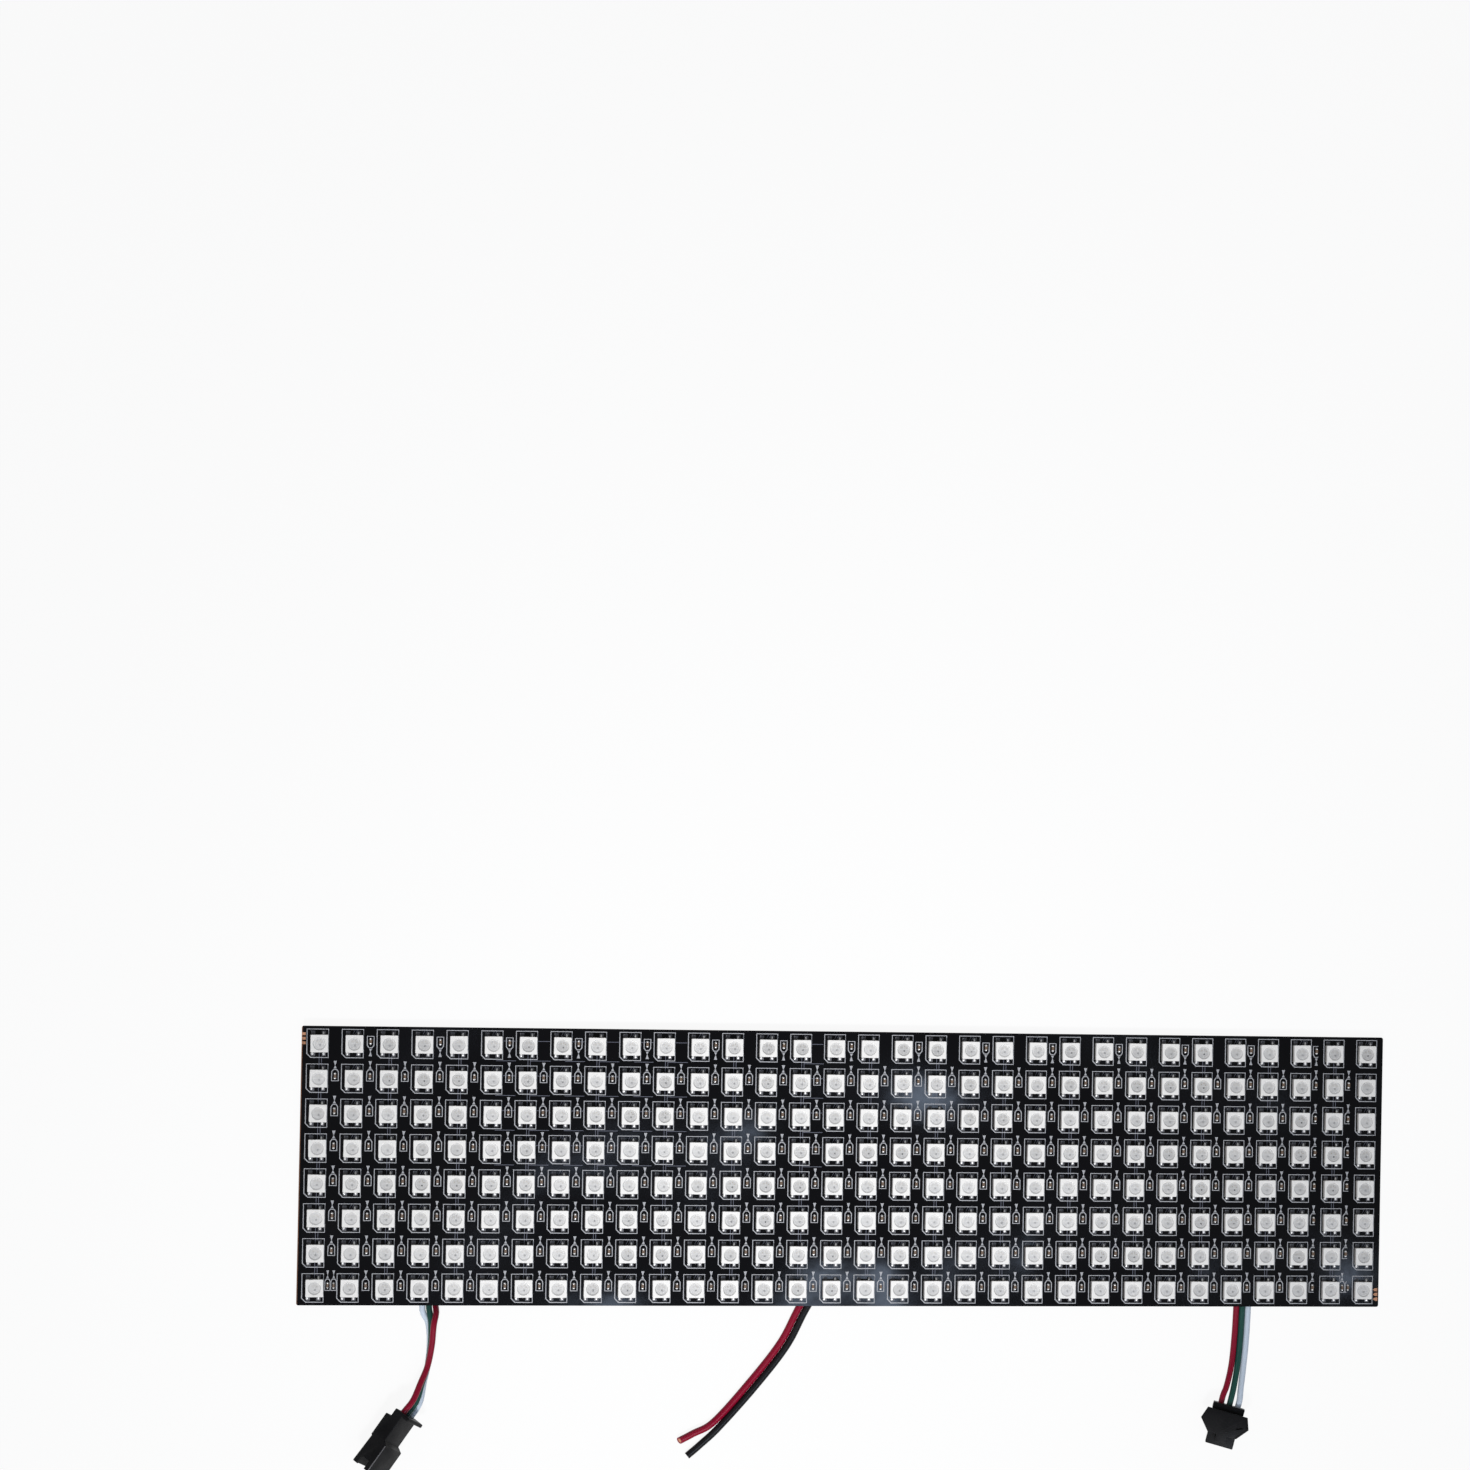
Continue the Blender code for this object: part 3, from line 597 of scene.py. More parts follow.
input_place = connector_matrix(INPUT_ROUTE)
shroud_start = SHROUD_STEP_AT + SHROUD_STEP_LENGTH
shroud = slab(
    [
        (-BODY_HALF, SHROUD_STEP_AT, -SHROUD_BOTTOM),
        (-BODY_HALF, SHROUD_STEP_AT, BODY_TOP - MOULD_EDGE),
        (-SHROUD_HALF, shroud_start, SHROUD_TOP),
        (-SHROUD_HALF, SHROUD_LENGTH, SHROUD_TOP),
        (-SHROUD_HALF, SHROUD_LENGTH, -SHROUD_BOTTOM),
    ],
    (2 * SHROUD_HALF, 0, 0),
)
for corner in shroud.verts:
    if corner.co.y < shroud_start and corner.co.x > 0:
        corner.co.x = BODY_HALF
bmesh.ops.triangulate(shroud, faces=[face for face in shroud.faces if len(face.verts) > 4])
softened(shroud)
side_view = [
    (0, BODY_TOP),
    (shroud_start, BODY_TOP),
    (shroud_start, BODY_BOTTOM),
    (NECK_LENGTH, BODY_BOTTOM),
    (NECK_LENGTH, BODY_BOTTOM + NECK_CUT),
    (0, BODY_BOTTOM + NECK_CUT),
]
body = softened(slab([(-BODY_HALF, y, z) for y, z in side_view], (2 * BODY_HALF, 0, 0)))
lip = softened(block((-BODY_HALF, 0, BODY_TOP - LIP_HEIGHT), (BODY_HALF, LIP_LENGTH, BODY_TOP + LIP_HEIGHT)))
long_housing = combined(shroud, "UNION", [body, lip])
middle = (CAVITY_TOP - CAVITY_BOTTOM) / 2
tools = [
    block(
        (-CAVITY_WIDTH / 2, CAVITY_FLOOR, -CAVITY_BOTTOM),
        (CAVITY_WIDTH / 2, SHROUD_LENGTH + OVERRUN, CAVITY_TOP),
    ),
    block(
        (-SHROUD_HALF - OVERRUN, SHROUD_LENGTH - SLOT_DEPTH, middle - SLOT_HALF),
        (SHROUD_HALF + OVERRUN, SHROUD_LENGTH + OVERRUN, middle + SLOT_HALF),
    ),
    block(
        (-LATCH_HALF, LATCH_START, -SHROUD_BOTTOM - OVERRUN),
        (LATCH_HALF, LATCH_START + LATCH_LENGTH, middle),
    ),
]
tools += contact_hole_tools(CONTACT_HOLE_RADIUS, -OVERRUN, CRIMP_HOLE_END, LEAD_IN)
tools += contact_hole_tools(PIN_HOLE_RADIUS, NECK_LENGTH, CAVITY_FLOOR + OVERRUN, 0)
long_housing = combined(long_housing, "DIFFERENCE", tools)
# The faces along the shroud's rounded upper edge take the lighter nylon, a painted highlight.
top_edge = Vector((SHROUD_HALF - MOULD_EDGE / 2, SHROUD_TOP - MOULD_EDGE / 2))
for face in long_housing.faces:
    centre = face.calc_center_median()
    on_top_edge = (centre.xz - top_edge).length < MOULD_EDGE and min(face.normal.x, face.normal.z) > 0.1
    face.material_index = int(centre.y > shroud_start and on_top_edge)
bmesh.ops.transform(long_housing, matrix=input_place, verts=long_housing.verts)
input_housing = piece(
    "input_moulded_housing", long_housing, black_nylon, nylon_painted_highlight, slot="black_nylon", sharp=35
)
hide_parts("input_housing")


# SHORT HOUSING OF THE OUTPUT LEAD
# A black nylon moulding that holds three socket contacts. On top, a lever rocks on a pivot: it is pressed
# by its wide wings at the rear to lift the hook at its front out of the long housing's window.
PLUG_REAR_LENGTH = 0.0020
PLUG_REAR_WIDTH = 0.0094
LEVER_UNDERSIDE = CAVITY_BOTTOM + SHROUD_WALL + MATING_CLEARANCE
LEVER_THICKNESS = 0.0011
LEVER_SLOPE = 0.00075
LEVER_EDGE = 0.00012
POCKET_DEPTH = 0.0005
PLUG_FACE_WALL = 0.0006
SOCKET_HOLE_START = 0.0062
SOCKET_HOLE_RADIUS = 0.00068
PART_OVERLAP = 0.0005
HOOK_HALF = 0.0014
HOOK_REACH = 0.00055


def mirrored_outline(right_half, height):
    """An outline across the middle of a connector, from the corners of its right half."""
    left_half = [(-x, y) for x, y in reversed(right_half)]
    return [(x, y, height) for x, y in right_half + left_half]


output_place = connector_matrix(OUTPUT_ROUTE)
nose_outline = [
    (PLUG_WIDTH / 2, PLUG_LENGTH),
    (PLUG_WIDTH / 2, PLUG_REAR_LENGTH),
    (PLUG_REAR_WIDTH / 2, PLUG_REAR_LENGTH),
    (PLUG_REAR_WIDTH / 2, 0),
]
nose = softened(slab(mirrored_outline(nose_outline, -PLUG_BOTTOM), (0, 0, PLUG_BOTTOM + PLUG_TOP)))
lever_outline = [(0.0017, 0.0110), (0.0017, 0.0088), (0.0043, 0.0088), (0.0072, 0.0053), (0.0060, 0.0018)]
lever = slab(mirrored_outline(lever_outline, LEVER_UNDERSIDE), (0, 0, LEVER_THICKNESS))
lever_top = LEVER_UNDERSIDE + LEVER_THICKNESS
sloped_side = [
    edge
    for edge in lever.edges
    if all(corner.co.z > lever_top - 1e-6 and corner.co.x < -0.0018 for corner in edge.verts)
]
bmesh.ops.bevel(
    lever,
    geom=sloped_side,
    offset=LEVER_SLOPE,
    offset_type="OFFSET",
    affect="EDGES",
    segments=1,
    profile=0.5,
    material=-1,
)
softened(lever, LEVER_EDGE)
pocket_outline = [(-0.0036, 0.0062), (-0.0036, 0.0040), (-0.0055, 0.0053)]
pocket = slab([(x, y, lever_top - POCKET_DEPTH) for x, y in pocket_outline], (0, 0, OVERRUN))
pivot = block((-0.0020, 0.0054, PLUG_TOP - PART_OVERLAP), (0.0020, 0.0070, LEVER_UNDERSIDE + PART_OVERLAP))
hook = slab(
    [
        (-HOOK_HALF, 0.00975, LEVER_UNDERSIDE + PART_OVERLAP),
        (-HOOK_HALF, 0.00975, LEVER_UNDERSIDE - HOOK_REACH),
        (-HOOK_HALF, 0.01035, LEVER_UNDERSIDE - HOOK_REACH),
        (-HOOK_HALF, 0.01075, LEVER_UNDERSIDE - 0.0001),
        (-HOOK_HALF, 0.01075, LEVER_UNDERSIDE + PART_OVERLAP),
    ],
    (2 * HOOK_HALF, 0, 0),
)
short_housing = combined(nose, "UNION", [pivot, lever, hook])
short_housing = combined(
    short_housing,
    "DIFFERENCE",
    [pocket]
    + contact_hole_tools(CONTACT_HOLE_RADIUS, -OVERRUN, PLUG_LENGTH - PLUG_FACE_WALL, LEAD_IN)
    + contact_hole_tools(SOCKET_HOLE_RADIUS, SOCKET_HOLE_START, PLUG_LENGTH + OVERRUN, 0),
)
bmesh.ops.transform(short_housing, matrix=output_place, verts=short_housing.verts)
output_housing = piece("output_moulded_housing", short_housing, black_nylon, slot="black_nylon", sharp=35)
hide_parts("output_housing")


# CONTACTS
# Stamped and rolled brass: pins in the long housing and sleeves in the short one, each crimped on the
# end of its wire. Only their tips and mouths can be seen from outside.
brass, brass_shader = plain_finish("brass", (0.80, 0.60, 0.26), 0.28, metallic=1.0)
add_grain(brass, brass_shader, 1500.0, 400.0, 0.2, 0.4, 0.00001)
for lead, kind in (("input", "pin"), ("output", "socket")):
    for colour in ("red", "green", "white"):
        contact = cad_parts[f"{lead}_{kind}_{colour}"]
        contact.data.materials.clear()
        contact.data.materials.append(brass)
        wire, path = data_wires[lead, colour]


# CUT ENDS OF THE POWER WIRES
# Seven copper strands fill each power wire and end a hair inside the insulation. The cutters left the red
# end slanted, so that its copper shows from above, and the black end square.
STRANDS_START = -0.0029
STRANDS_END = -0.00008

copper, copper_shader = plain_finish("copper", (0.70, 0.35, 0.20), 0.3, metallic=1.0)
add_grain(copper, copper_shader, 900.0, 300.0, 0.25, 0.45, 0.00001)


def strand_bundle(bundle_radius, start, end):
    """Seven round strands along Y, laid side by side within a bore."""
    bundle = bmesh.new()
    strand_radius = bundle_radius / 3
    for number in range(7):
        around = math.radians(60 * number)
        aside = 0 if number == 6 else 2 * strand_radius
        strand = tapered_rod(strand_radius, strand_radius, start, end, sides=10)
        put_into(bundle, moved(strand, (aside * math.cos(around), 0, aside * math.sin(around))))
    return bundle


for colour, (wire, path) in power_wires.items():
    strands = strand_bundle(POWER_BORE_RADIUS, STRANDS_START, STRANDS_END)
    turn = (path[-1] - path[-2]).to_track_quat("Y", "Z").to_matrix().to_4x4()
    bmesh.ops.transform(strands, matrix=Matrix.Translation(path[-1]) @ turn, verts=strands.verts)
    if colour == "red":
        tips = [corner for corner in strands.verts if (corner.co - path[-1]).length < POWER_WIRE_RADIUS]
        slanted(tips, path, POWER_WIRE_RADIUS, RED_CUT_SLOPE)
    cut_end = piece(f"power_{colour}_strands", strands, copper)


# SOLDER JOINTS ON THE BACK
# Each wire's bared, tinned strands lie on a pad on the back of the film under a dome of solder, bright and
# a little uneven.
BACK_Z = 0.0023
DATA_JOINT_WIDTH = 0.0020
DATA_JOINT_DEPTH = 0.0019
DATA_CORE_RADIUS = 0.00032
POWER_JOINT_WIDTH = 0.0026
POWER_CORE_RADIUS = 0.00048
JOINT_LENGTH = 0.0032
JOINT_MIDDLE = 0.0031
CORE_START = -0.0012
solder, solder_shader = plain_finish("solder", (0.78, 0.78, 0.80), 0.22, metallic=1.0)
add_grain(solder, solder_shader, 700.0, 300.0, 0.14, 0.34, 0.00004)


def make_joint(lead, colour, route, offset, width, depth, core_radius):
    """A dome of solder over the strands of one wire."""
    wire_start = wire_path(route, offset, 0.01)[0]
    middle = Vector((wire_start.x, wire_start.y + JOINT_MIDDLE, BACK_Z))
    dome = bmesh.new()
    bmesh.ops.create_uvsphere(dome, u_segments=24, v_segments=16, radius=1.0)
    bmesh.ops.scale(dome, vec=(width / 2, JOINT_LENGTH / 2, depth), verts=dome.verts)
    cut = bmesh.ops.bisect_plane(
        dome, geom=all_of(dome), plane_co=(0, 0, 0), plane_no=(0, 0, 1), clear_outer=True
    )
    bmesh.ops.contextual_create(dome, geom=edges_of(cut["geom_cut"]))
    bmesh.ops.translate(dome, vec=middle, verts=dome.verts)
    put_into(dome, moved(strand_bundle(core_radius, CORE_START, JOINT_MIDDLE), wire_start))
    joint = piece(f"{lead}_{colour}_joint", dome, solder, slot="solder")
    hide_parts(f"{lead}_solder_{colour}")


for lead, route in DATA_LEADS.items():
    for colour, offset in DATA_OFFSETS.items():
        make_joint(lead, colour, route, offset, DATA_JOINT_WIDTH, DATA_JOINT_DEPTH, DATA_CORE_RADIUS)
for colour, offset in POWER_OFFSETS.items():
    make_joint("power", colour, POWER_ROUTE, offset, POWER_JOINT_WIDTH, BACK_Z, POWER_CORE_RADIUS)


# FILM
# A laminated flexible circuit: copper between two layers of polyimide, with a glossy black top layer. The
# cut edge shows the amber of the bare polyimide, and the sheet is never quite flat.
COLUMNS = 32
ROWS = 8
PITCH = 0.010
FILM_THICKNESS = 0.0003
FACE_Z = BACK_Z + FILM_THICKNESS
END_LENGTH = 0.026
END_LIFT = 0.0001
BARE_MARGIN = 0.00028
CORNER_RADIUS = 0.0006

film_black, film_shader = plain_finish("film_black", (0.0022, 0.0022, 0.0030), 0.13)
where = add_node(film_black, "ShaderNodeTexCoord")
long_waves = add_node(film_black, "ShaderNodeTexNoise", Scale=25.0, Detail=0.0)
fine_waves = add_node(film_black, "ShaderNodeTexNoise", Scale=220.0, Detail=1.0)
long_bump = add_node(film_black, "ShaderNodeBump", Distance=0.0045, Strength=1.0)
fine_bump = add_node(film_black, "ShaderNodeBump", Distance=0.000025, Strength=1.0)
connect(
    film_black.node_tree,
    (where.outputs["Object"], long_waves.inputs["Vector"]),
    (where.outputs["Object"], fine_waves.inputs["Vector"]),
    (long_waves.outputs["Fac"], long_bump.inputs["Height"]),
    (fine_waves.outputs["Fac"], fine_bump.inputs["Height"]),
    (long_bump.outputs["Normal"], fine_bump.inputs["Normal"]),
    (fine_bump.outputs["Normal"], film_shader.inputs["Normal"]),
)

film_edge, edge_shader = plain_finish("cut_polyimide", (0.12, 0.040, 0.010), 0.4)
add_grain(film_edge, edge_shader, 1200.0, 200.0, 0.3, 0.5, 0.00002)

film = block((-HALF_LENGTH, -HALF_WIDTH, BACK_Z), (HALF_LENGTH, HALF_WIDTH, FACE_Z))
upright = [edge for edge in film.edges if abs(edge.verts[0].co.z - edge.verts[1].co.z) > FILM_THICKNESS / 2]
bmesh.ops.bevel(
    film, geom=upright, offset=CORNER_RADIUS, affect="EDGES", segments=6, profile=0.5, material=-1
)
for crease in (-HALF_LENGTH + BARE_MARGIN, -HALF_LENGTH + END_LENGTH, HALF_LENGTH - END_LENGTH):
    bmesh.ops.bisect_plane(film, geom=all_of(film), plane_co=(crease, 0, 0), plane_no=(1, 0, 0))


def end_lift(x):
    """How far the film's ends lift off its plane, x metres from the middle."""
    return END_LIFT * max(0.0, abs(x) - (HALF_LENGTH - END_LENGTH)) / END_LENGTH


for corner in film.verts:
    corner.co.z += end_lift(corner.co.x)
for face in film.faces:
    face.normal_update()
    bare = face.calc_center_median().x < -HALF_LENGTH + BARE_MARGIN
    face.material_index = int(bare or abs(face.normal.z) < 0.5)
film_piece = piece("film", film, film_black, film_edge, slot="black_film")
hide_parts("flex_board")


# PRINTED OUTLINES
# White ink on the black layer: a frame round every light package with its lower left corner cut off, a
# smaller frame round every capacitor with both upper corners cut off, and short index strokes.
INK_HEIGHT = 0.00002
INK_WIDTH = 0.00029
INK_STRETCH = 1.0015
INK_SHIFT = -0.0002
ink, ink_shader = plain_finish("printing_ink", (0.34, 0.345, 0.365), 0.5)
add_grain(ink, ink_shader, 1800.0, 500.0, 0.4, 0.6, 0.00002)


def cell_middle(column, row):
    """The middle of a light package, with column 1 at the left and row 1 at the top."""
    x = (column - (COLUMNS + 1) / 2) * PITCH
    return Vector((x, ((ROWS + 1) / 2 - row) * PITCH, FACE_Z + end_lift(x)))


def copies(shape, places):
    """Repeats a mesh made at the origin at each place, and takes the first one away from there."""
    everything = all_of(shape)
    first = shape.verts[:]
    for place in places:
        matrix = place if isinstance(place, Matrix) else Matrix.Translation(place)
        copy = bmesh.ops.duplicate(shape, geom=everything)["geom"]
        bmesh.ops.transform(shape, matrix=matrix, verts=verts_of(copy))
    bmesh.ops.delete(shape, geom=first, context="VERTS")
    return shape


def add_patch(shape, corners, height):
    """Adds a thin patch that lies on the film, given by its corners in order."""
    patch = shape.faces.new([shape.verts.new((x, y, height)) for x, y in corners])
    patch.normal_update()
    if patch.normal.z < 0:
        patch.normal_flip()
    return patch


def add_printed_line(shape, corners):
    """Adds a closed line of ink, given by the corners of its outer side."""
    area = add_patch(shape, corners, INK_HEIGHT)
    bmesh.ops.inset_region(shape, faces=[area], thickness=INK_WIDTH, use_boundary=True)
    bmesh.ops.delete(shape, geom=[area], context="FACES_ONLY")


def ink_place(column, row):
    """The ink is printed a touch larger than the film, so it drifts across the packages."""
    place = cell_middle(column, row)
    return Vector((place.x * INK_STRETCH + INK_SHIFT, place.y, place.z))


every_cell = [(column, row) for row in range(1, ROWS + 1) for column in range(1, COLUMNS + 1)]
package_line = bmesh.new()
add_printed_line(
    package_line,
    [(-0.0020, -0.00418), (0.00318, -0.00418), (0.00318, 0.00418), (-0.00318, 0.00418), (-0.00318, -0.0030)],
)
copies(package_line, [ink_place(*cell) for cell in every_cell])
piece("package_outlines", package_line, ink)


# LIGHT PACKAGES
# Square white plastic frames, 5 mm on a side, moulded round a silver-plated lead frame. A round well holds
# three light chips and a small dark driver chip under clear resin, nearly level with the frame's top and
# hazier in some packages than in others.
LED_SIDE = 0.005
LED_HEIGHT = 0.0016
WELL_RADIUS = 0.00192
WELL_FLOOR_RADIUS = 0.00155
WELL_DEPTH = 0.00055
WELL_SIDES = 24
WELL_FLOOR_Z = LED_HEIGHT - WELL_DEPTH
PACKAGE_EDGE = 0.00012
PACKAGE_GAP = 0.0001
RESIN_SHARE = 0.97
DRIVER_CHIP_HEIGHT = 0.00020
LIGHT_CHIP_SIDE = 0.00024
LIGHT_CHIP_HEIGHT = 0.00012
SEATING_ERROR = 0.00004
SEATING_TURN = 0.8

white_plastic, plastic_shader = plain_finish("white_package_plastic", (0.77, 0.755, 0.735), 0.35)
add_grain(white_plastic, plastic_shader, 1500.0, 120.0, 0.28, 0.45, 0.00002)
silver, silver_shader = plain_finish("silvered_lead_frame", (0.64, 0.62, 0.60), 0.42, metallic=0.6)
add_grain(silver, silver_shader, 1400.0, 500.0, 0.35, 0.5, 0.00002)
chip_dark, chip_shader = plain_finish("driver_chip", (0.05, 0.045, 0.05), 0.25)
add_grain(chip_dark, chip_shader, 1400.0, 500.0, 0.2, 0.3, 0.00001)
chip_amber, amber_shader = plain_finish("light_chip", (0.42, 0.33, 0.20), 0.3)
add_grain(chip_amber, amber_shader, 1400.0, 500.0, 0.25, 0.35, 0.00001)
resin, resin_shader = plain_finish("clear_resin", (0.86, 0.86, 0.85), 0.16)
resin_shader.inputs["Alpha"].default_value = 0.38
resin_place = add_node(resin, "ShaderNodeTexCoord")
haze = add_node(resin, "ShaderNodeTexNoise", Scale=45.0, Detail=0.0)
haze_tone = add_node(resin, "ShaderNodeMapRange", From_Min=0.35, From_Max=0.65, To_Min=0.56, To_Max=0.84)
connect(
    resin.node_tree,
    (resin_place.outputs["Object"], haze.inputs["Vector"]),
    (haze.outputs["Fac"], haze_tone.inputs["Value"]),
    (haze_tone.outputs["Result"], resin_shader.inputs["Base Color"]),
)
add_grain(resin, resin_shader, 500.0, 90.0, 0.1, 0.24, 0.00003)

seating = random.Random(11)
package_places = []
for cell in every_cell:
    nudge = Vector((seating.uniform(-1, 1), seating.uniform(-1, 1), 0)) * SEATING_ERROR
    turn = Matrix.Rotation(math.radians(seating.uniform(-SEATING_TURN, SEATING_TURN)), 4, "Z")
    package_places.append(Matrix.Translation(cell_middle(*cell) + nudge) @ turn)

package = bmesh.new()
bmesh.ops.create_circle(package, cap_ends=False, segments=WELL_SIDES, radius=WELL_RADIUS)
rim = package.edges[:]
outer = bmesh.ops.extrude_edge_only(package, edges=rim)["geom"]
for corner in verts_of(outer):
    corner.co *= (LED_SIDE / 2) / max(abs(corner.co.x), abs(corner.co.y))
walls = bmesh.ops.extrude_edge_only(package, edges=edges_of(outer))["geom"]
bmesh.ops.translate(package, vec=(0, 0, -LED_HEIGHT + PACKAGE_GAP), verts=verts_of(walls))
well = bmesh.ops.extrude_edge_only(package, edges=rim)["geom"]
well_floor = verts_of(well)
bmesh.ops.scale(package, vec=(WELL_FLOOR_RADIUS / WELL_RADIUS,) * 2 + (1,), verts=well_floor)
bmesh.ops.translate(package, vec=(0, 0, -WELL_DEPTH), verts=well_floor)
bmesh.ops.contextual_create(package, geom=edges_of(well))
bmesh.ops.recalc_face_normals(package, faces=package.faces)
bmesh.ops.translate(package, vec=(0, 0, LED_HEIGHT), verts=package.verts)
upright = [
    edge
    for edge in package.edges
    if min(abs(edge.verts[0].co.x), abs(edge.verts[0].co.y)) > LED_SIDE * 0.49
    and abs(edge.verts[0].co.z - edge.verts[1].co.z) > LED_HEIGHT / 2
]
bmesh.ops.bevel(
    package, geom=upright, offset=PACKAGE_EDGE, affect="EDGES", segments=1, profile=0.5, material=-1
)
flat_sides = [edge for edge in package.edges if abs(edge.verts[0].co.z - edge.verts[1].co.z) > LED_HEIGHT / 2]
bmesh.ops.dissolve_limit(
    package, angle_limit=math.radians(1), use_dissolve_boundaries=False, verts=[], edges=flat_sides
)
copies(package, package_places)
piece("package_frames", package, white_plastic, sharp=25)

pads = bmesh.new()
quarter = [(0.00010, 0.00010), (0.00135, 0.00010), (0.00125, 0.00060)]
quarter += [(0.00095, 0.00098), (0.00060, 0.00125), (0.00010, 0.00135)]
pads.faces.new([pads.verts.new((x, y, WELL_FLOOR_Z + 0.00003)) for x, y in quarter])
bmesh.ops.spin(
    pads, geom=all_of(pads), axis=(0, 0, 1), cent=(0, 0, 0), steps=3, angle=1.5 * math.pi, use_duplicate=True
)
copies(pads, package_places)
piece("lead_frame_pads", pads, silver)

chips = block((-0.00005, -0.00068, WELL_FLOOR_Z), (0.00040, -0.00022, WELL_FLOOR_Z + DRIVER_CHIP_HEIGHT))
copies(chips, package_places)
piece("driver_chips", chips, chip_dark)

light_chips = bmesh.new()
for x, y in ((-0.00062, 0.00050), (0.00012, 0.00075), (0.00066, 0.00030)):
    far_corner = (x + LIGHT_CHIP_SIDE, y + LIGHT_CHIP_SIDE, WELL_FLOOR_Z + LIGHT_CHIP_HEIGHT)
    put_into(light_chips, block((x, y, WELL_FLOOR_Z), far_corner))
copies(light_chips, package_places)
piece("light_chips", light_chips, chip_amber)

fill = bmesh.new()
bmesh.ops.create_circle(fill, cap_ends=True, segments=WELL_SIDES, radius=WELL_RADIUS * RESIN_SHARE)
bmesh.ops.poke(fill, faces=fill.faces, offset=-0.00003)
bmesh.ops.translate(fill, vec=(0, 0, LED_HEIGHT - 0.00005), verts=fill.verts)
copies(fill, package_places)
piece("resin_windows", fill, resin)


# SOLDER OF THE PACKAGES
# Each package stands on four tinned pads. The lower two and the right upper one end in a bright bead of
# solder that climbs the leg, and the upper pads show flat and dull.
bead_tin, bead_shader = plain_finish("bright_tin", (0.90, 0.90, 0.90), 0.36, metallic=0.55)
add_grain(bead_tin, bead_shader, 700.0, 300.0, 0.26, 0.46, 0.00003)
dull_tin, dull_shader = plain_finish("dull_tin", (0.10, 0.10, 0.11), 0.5, metallic=0.3)
add_grain(dull_tin, dull_shader, 900.0, 400.0, 0.4, 0.6, 0.00003)


def solder_bead(width, length, height):
    """A bead of solder, flat underneath."""
    bead = bmesh.new()
    bmesh.ops.create_uvsphere(bead, u_segments=8, v_segments=6, radius=1.0)
    bmesh.ops.scale(bead, vec=(width / 2, length / 2, height), verts=bead.verts)
    cut = bmesh.ops.bisect_plane(
        bead, geom=all_of(bead), plane_co=(0, 0, 0), plane_no=(0, 0, -1), clear_outer=True
    )
    bmesh.ops.contextual_create(bead, geom=edges_of(cut["geom_cut"]))
    bmesh.ops.recalc_face_normals(bead, faces=bead.faces)
    return bead


lower_places = []
upper_places = []
for cell in every_cell:
    for x in (-0.00193, 0.00132):
        lower_places.append(cell_middle(*cell) + Vector((x, -0.00295, 0)))
    upper_places.append(cell_middle(*cell) + Vector((0.00118, 0.00290, 0)))
piece("lower_beads", copies(solder_bead(0.00085, 0.00095, 0.00052), lower_places), bead_tin, slot="solder")
piece("upper_beads", copies(solder_bead(0.00062, 0.00110, 0.00050), upper_places), bead_tin, slot="solder")

flat_pads = bmesh.new()
for left, right in ((-0.00235, -0.00115), (0.00070, 0.00190)):
    for low, high in ((-0.00360, -0.00250), (0.00250, 0.00360)):
        add_patch(flat_pads, [(left, low), (right, low), (right, high), (left, high)], INK_HEIGHT / 2)
copies(flat_pads, [cell_middle(*cell) for cell in every_cell])
piece("package_pads", flat_pads, dull_tin)


# CAPACITORS
# A ceramic chip between neighbouring packages, brown in the middle and tinned at both ends, inside its
# printed outline with an index mark above it. The top row has one in every other gap only, turned round,
# and the two outer gaps of the bottom row have two side by side.
CAPACITOR_WIDTH = 0.0007
CAPACITOR_HEIGHT = 0.0005
CAPACITOR_ACROSS = 0.00470
CAPACITOR_RISE = 0.00072
END_REACH = 0.00062
END_OVERLAP = 0.0001
END_BEAD_LENGTH = 0.00075
END_BEAD_RISE = 0.00006
PAIR_PLACES = (0.00380, 0.00555)
PAIR_NARROWING = 0.78
ceramic, ceramic_shader = plain_finish("capacitor_ceramic", (0.13, 0.085, 0.055), 0.45)
add_grain(ceramic, ceramic_shader, 1600.0, 200.0, 0.35, 0.55, 0.00002)


def beside(column, row, across):
    return Matrix.Translation(cell_middle(column, row) + Vector((across, CAPACITOR_RISE, 0)))


capacitor_places = []
for column in range(1, COLUMNS):
    for row in range(2, ROWS + 1):
        if row == ROWS and column in (1, COLUMNS - 1):
            narrow = Matrix.Diagonal((PAIR_NARROWING, 1, 1, 1))
            capacitor_places += [beside(column, row, across) @ narrow for across in PAIR_PLACES]
        else:
            capacitor_places.append(beside(column, row, CAPACITOR_ACROSS))
for column in range(2, COLUMNS, 2):
    capacitor_places.append(beside(column, 1, CAPACITOR_ACROSS) @ Matrix.Rotation(math.pi, 4, "Z"))

body_reach = END_REACH - END_OVERLAP
capacitor = block((-CAPACITOR_WIDTH / 2, -body_reach, 0), (CAPACITOR_WIDTH / 2, body_reach, CAPACITOR_HEIGHT))
piece("capacitor_bodies", copies(capacitor, capacitor_places), ceramic)

end_places = []
for place in capacitor_places:
    end_places += [place @ Matrix.Translation((0, side * END_REACH, 0)) for side in (-1, 1)]
end_bead = solder_bead(CAPACITOR_WIDTH + END_OVERLAP, END_BEAD_LENGTH, CAPACITOR_HEIGHT + END_BEAD_RISE)
piece("capacitor_ends", copies(end_bead, end_places), bead_tin, slot="solder")

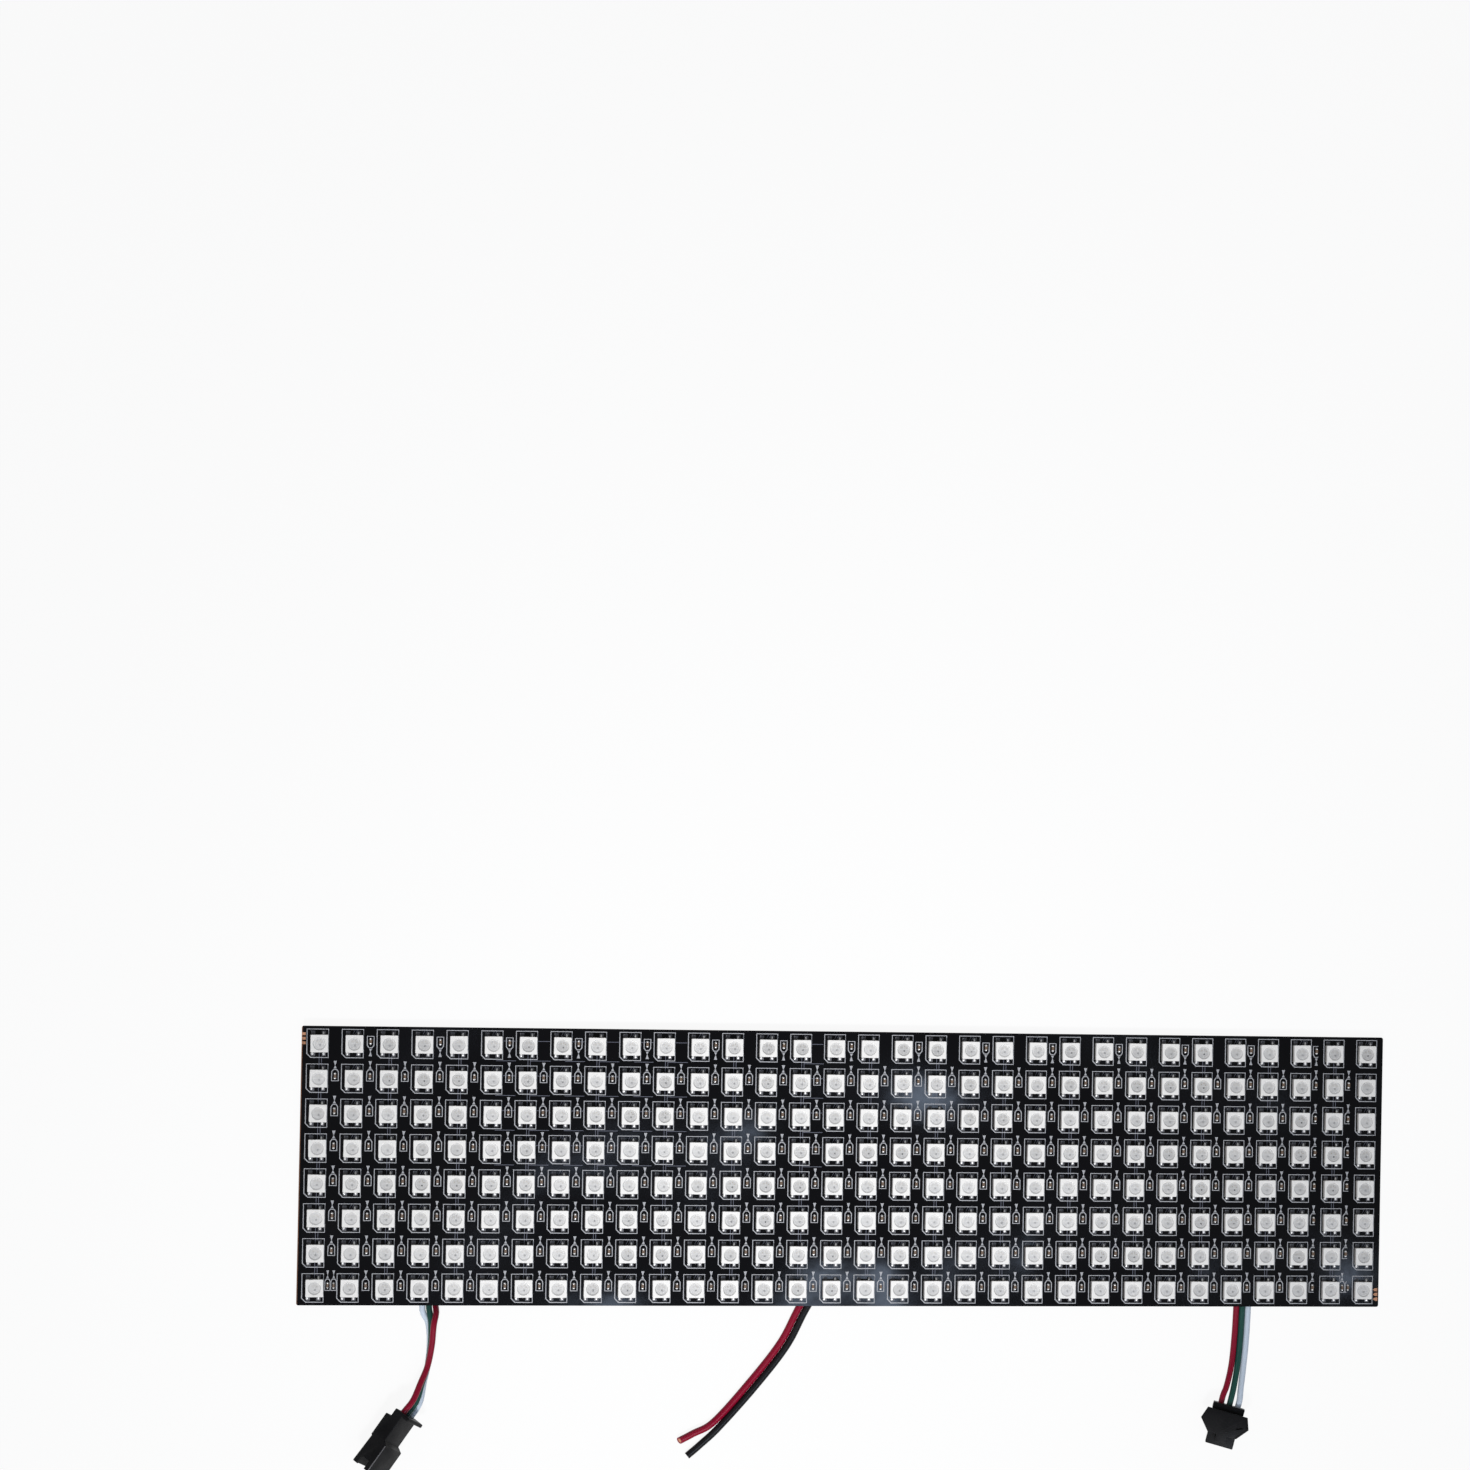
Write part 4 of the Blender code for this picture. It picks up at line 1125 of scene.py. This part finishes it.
capacitor_line = bmesh.new()
shoulders = [(0.00108, 0.00125), (0.00052, 0.00197), (-0.00052, 0.00197), (-0.00108, 0.00125)]
add_printed_line(capacitor_line, [(-0.00108, -0.00152), (0.00108, -0.00152), *shoulders])
add_patch(capacitor_line, [(-0.00042, 0.00215), (0.00042, 0.00215), (0, 0.0031)], INK_HEIGHT)
add_patch(capacitor_line, [(-0.00048, 0.00430), (0, 0.0028), (0.00048, 0.00430)], INK_HEIGHT)
piece("capacitor_outlines", copies(capacitor_line, capacitor_places), ink)


# COPPER TRACKS AND BARE PADS
# Narrow copper tracks under the black layer show as fine pale ridges: a pair down every other column, short
# slanted ones above the packages between, and a few across. Bare copper pads lie at two corners.
TRACK_WIDTH = 0.00017
TRACK_HEIGHT = 0.00001
PAD_LENGTH = 0.0011
PAD_HALF = 0.0004
PAD_INSET = 0.00002
PAD_Z = FACE_Z + END_LIFT + INK_HEIGHT
covered_copper, track_shader = plain_finish("covered_copper", (0.10, 0.105, 0.135), 0.3)
add_grain(covered_copper, track_shader, 1200.0, 200.0, 0.22, 0.4, 0.00002)


def add_track(shape, x, y, end_x, end_y):
    """Adds a straight track from one point to another."""
    along = Vector((end_x - x, end_y - y)).normalized()
    aside = Vector((-along.y, along.x)) * TRACK_WIDTH / 2
    corners = [(x + aside.x, y + aside.y), (x - aside.x, y - aside.y)]
    corners += [(end_x - aside.x, end_y - aside.y), (end_x + aside.x, end_y + aside.y)]
    add_patch(shape, corners, TRACK_HEIGHT)


down_tracks = bmesh.new()
for x in (0.00008, 0.00078):
    add_track(down_tracks, x, -0.00255, x, -0.00745)
down_places = [cell_middle(*cell) for cell in every_cell if cell[0] % 2 and cell[1] < ROWS]
piece("down_tracks", copies(down_tracks, down_places), covered_copper)

slanted_tracks = bmesh.new()
for x in (-0.00045, 0.00025):
    add_track(slanted_tracks, x, 0.00262, x + 0.00062, 0.00385)
slanted_places = [cell_middle(*cell) for cell in every_cell if not cell[0] % 2]
piece("slanted_tracks", copies(slanted_tracks, slanted_places), covered_copper)

cross_tracks = bmesh.new()
add_track(cross_tracks, 0.0009, -0.00448, 0.0066, -0.00448)
add_track(cross_tracks, 0.0026, 0.0012, 0.0064, 0.0012)
cross_columns = (6, 7, 8, 9, 10, 11, 15)
cross_places = [cell_middle(*cell) for cell in every_cell if cell[1] < 5 and cell[0] in cross_columns]
piece("cross_tracks", copies(cross_tracks, cross_places), covered_copper)

bare_pads = bmesh.new()
left_edge = -HALF_LENGTH + PAD_INSET
for y in (0.0377, 0.0364, 0.0351):
    inner_edge = left_edge + PAD_LENGTH
    corners = [(left_edge, y - PAD_HALF), (inner_edge, y - PAD_HALF), (inner_edge, y + PAD_HALF)]
    add_patch(bare_pads, [*corners, (left_edge, y + PAD_HALF)], PAD_Z)
for y in (-0.0349, -0.0363, -0.0377):
    arc = [math.radians(angle) for angle in range(90, 271, 20)]
    corners = [(HALF_LENGTH - 0.0003 + 0.0013 * math.cos(a), y + 0.00052 * math.sin(a)) for a in arc]
    add_patch(bare_pads, corners, PAD_Z)
piece("bare_pads", bare_pads, copper)
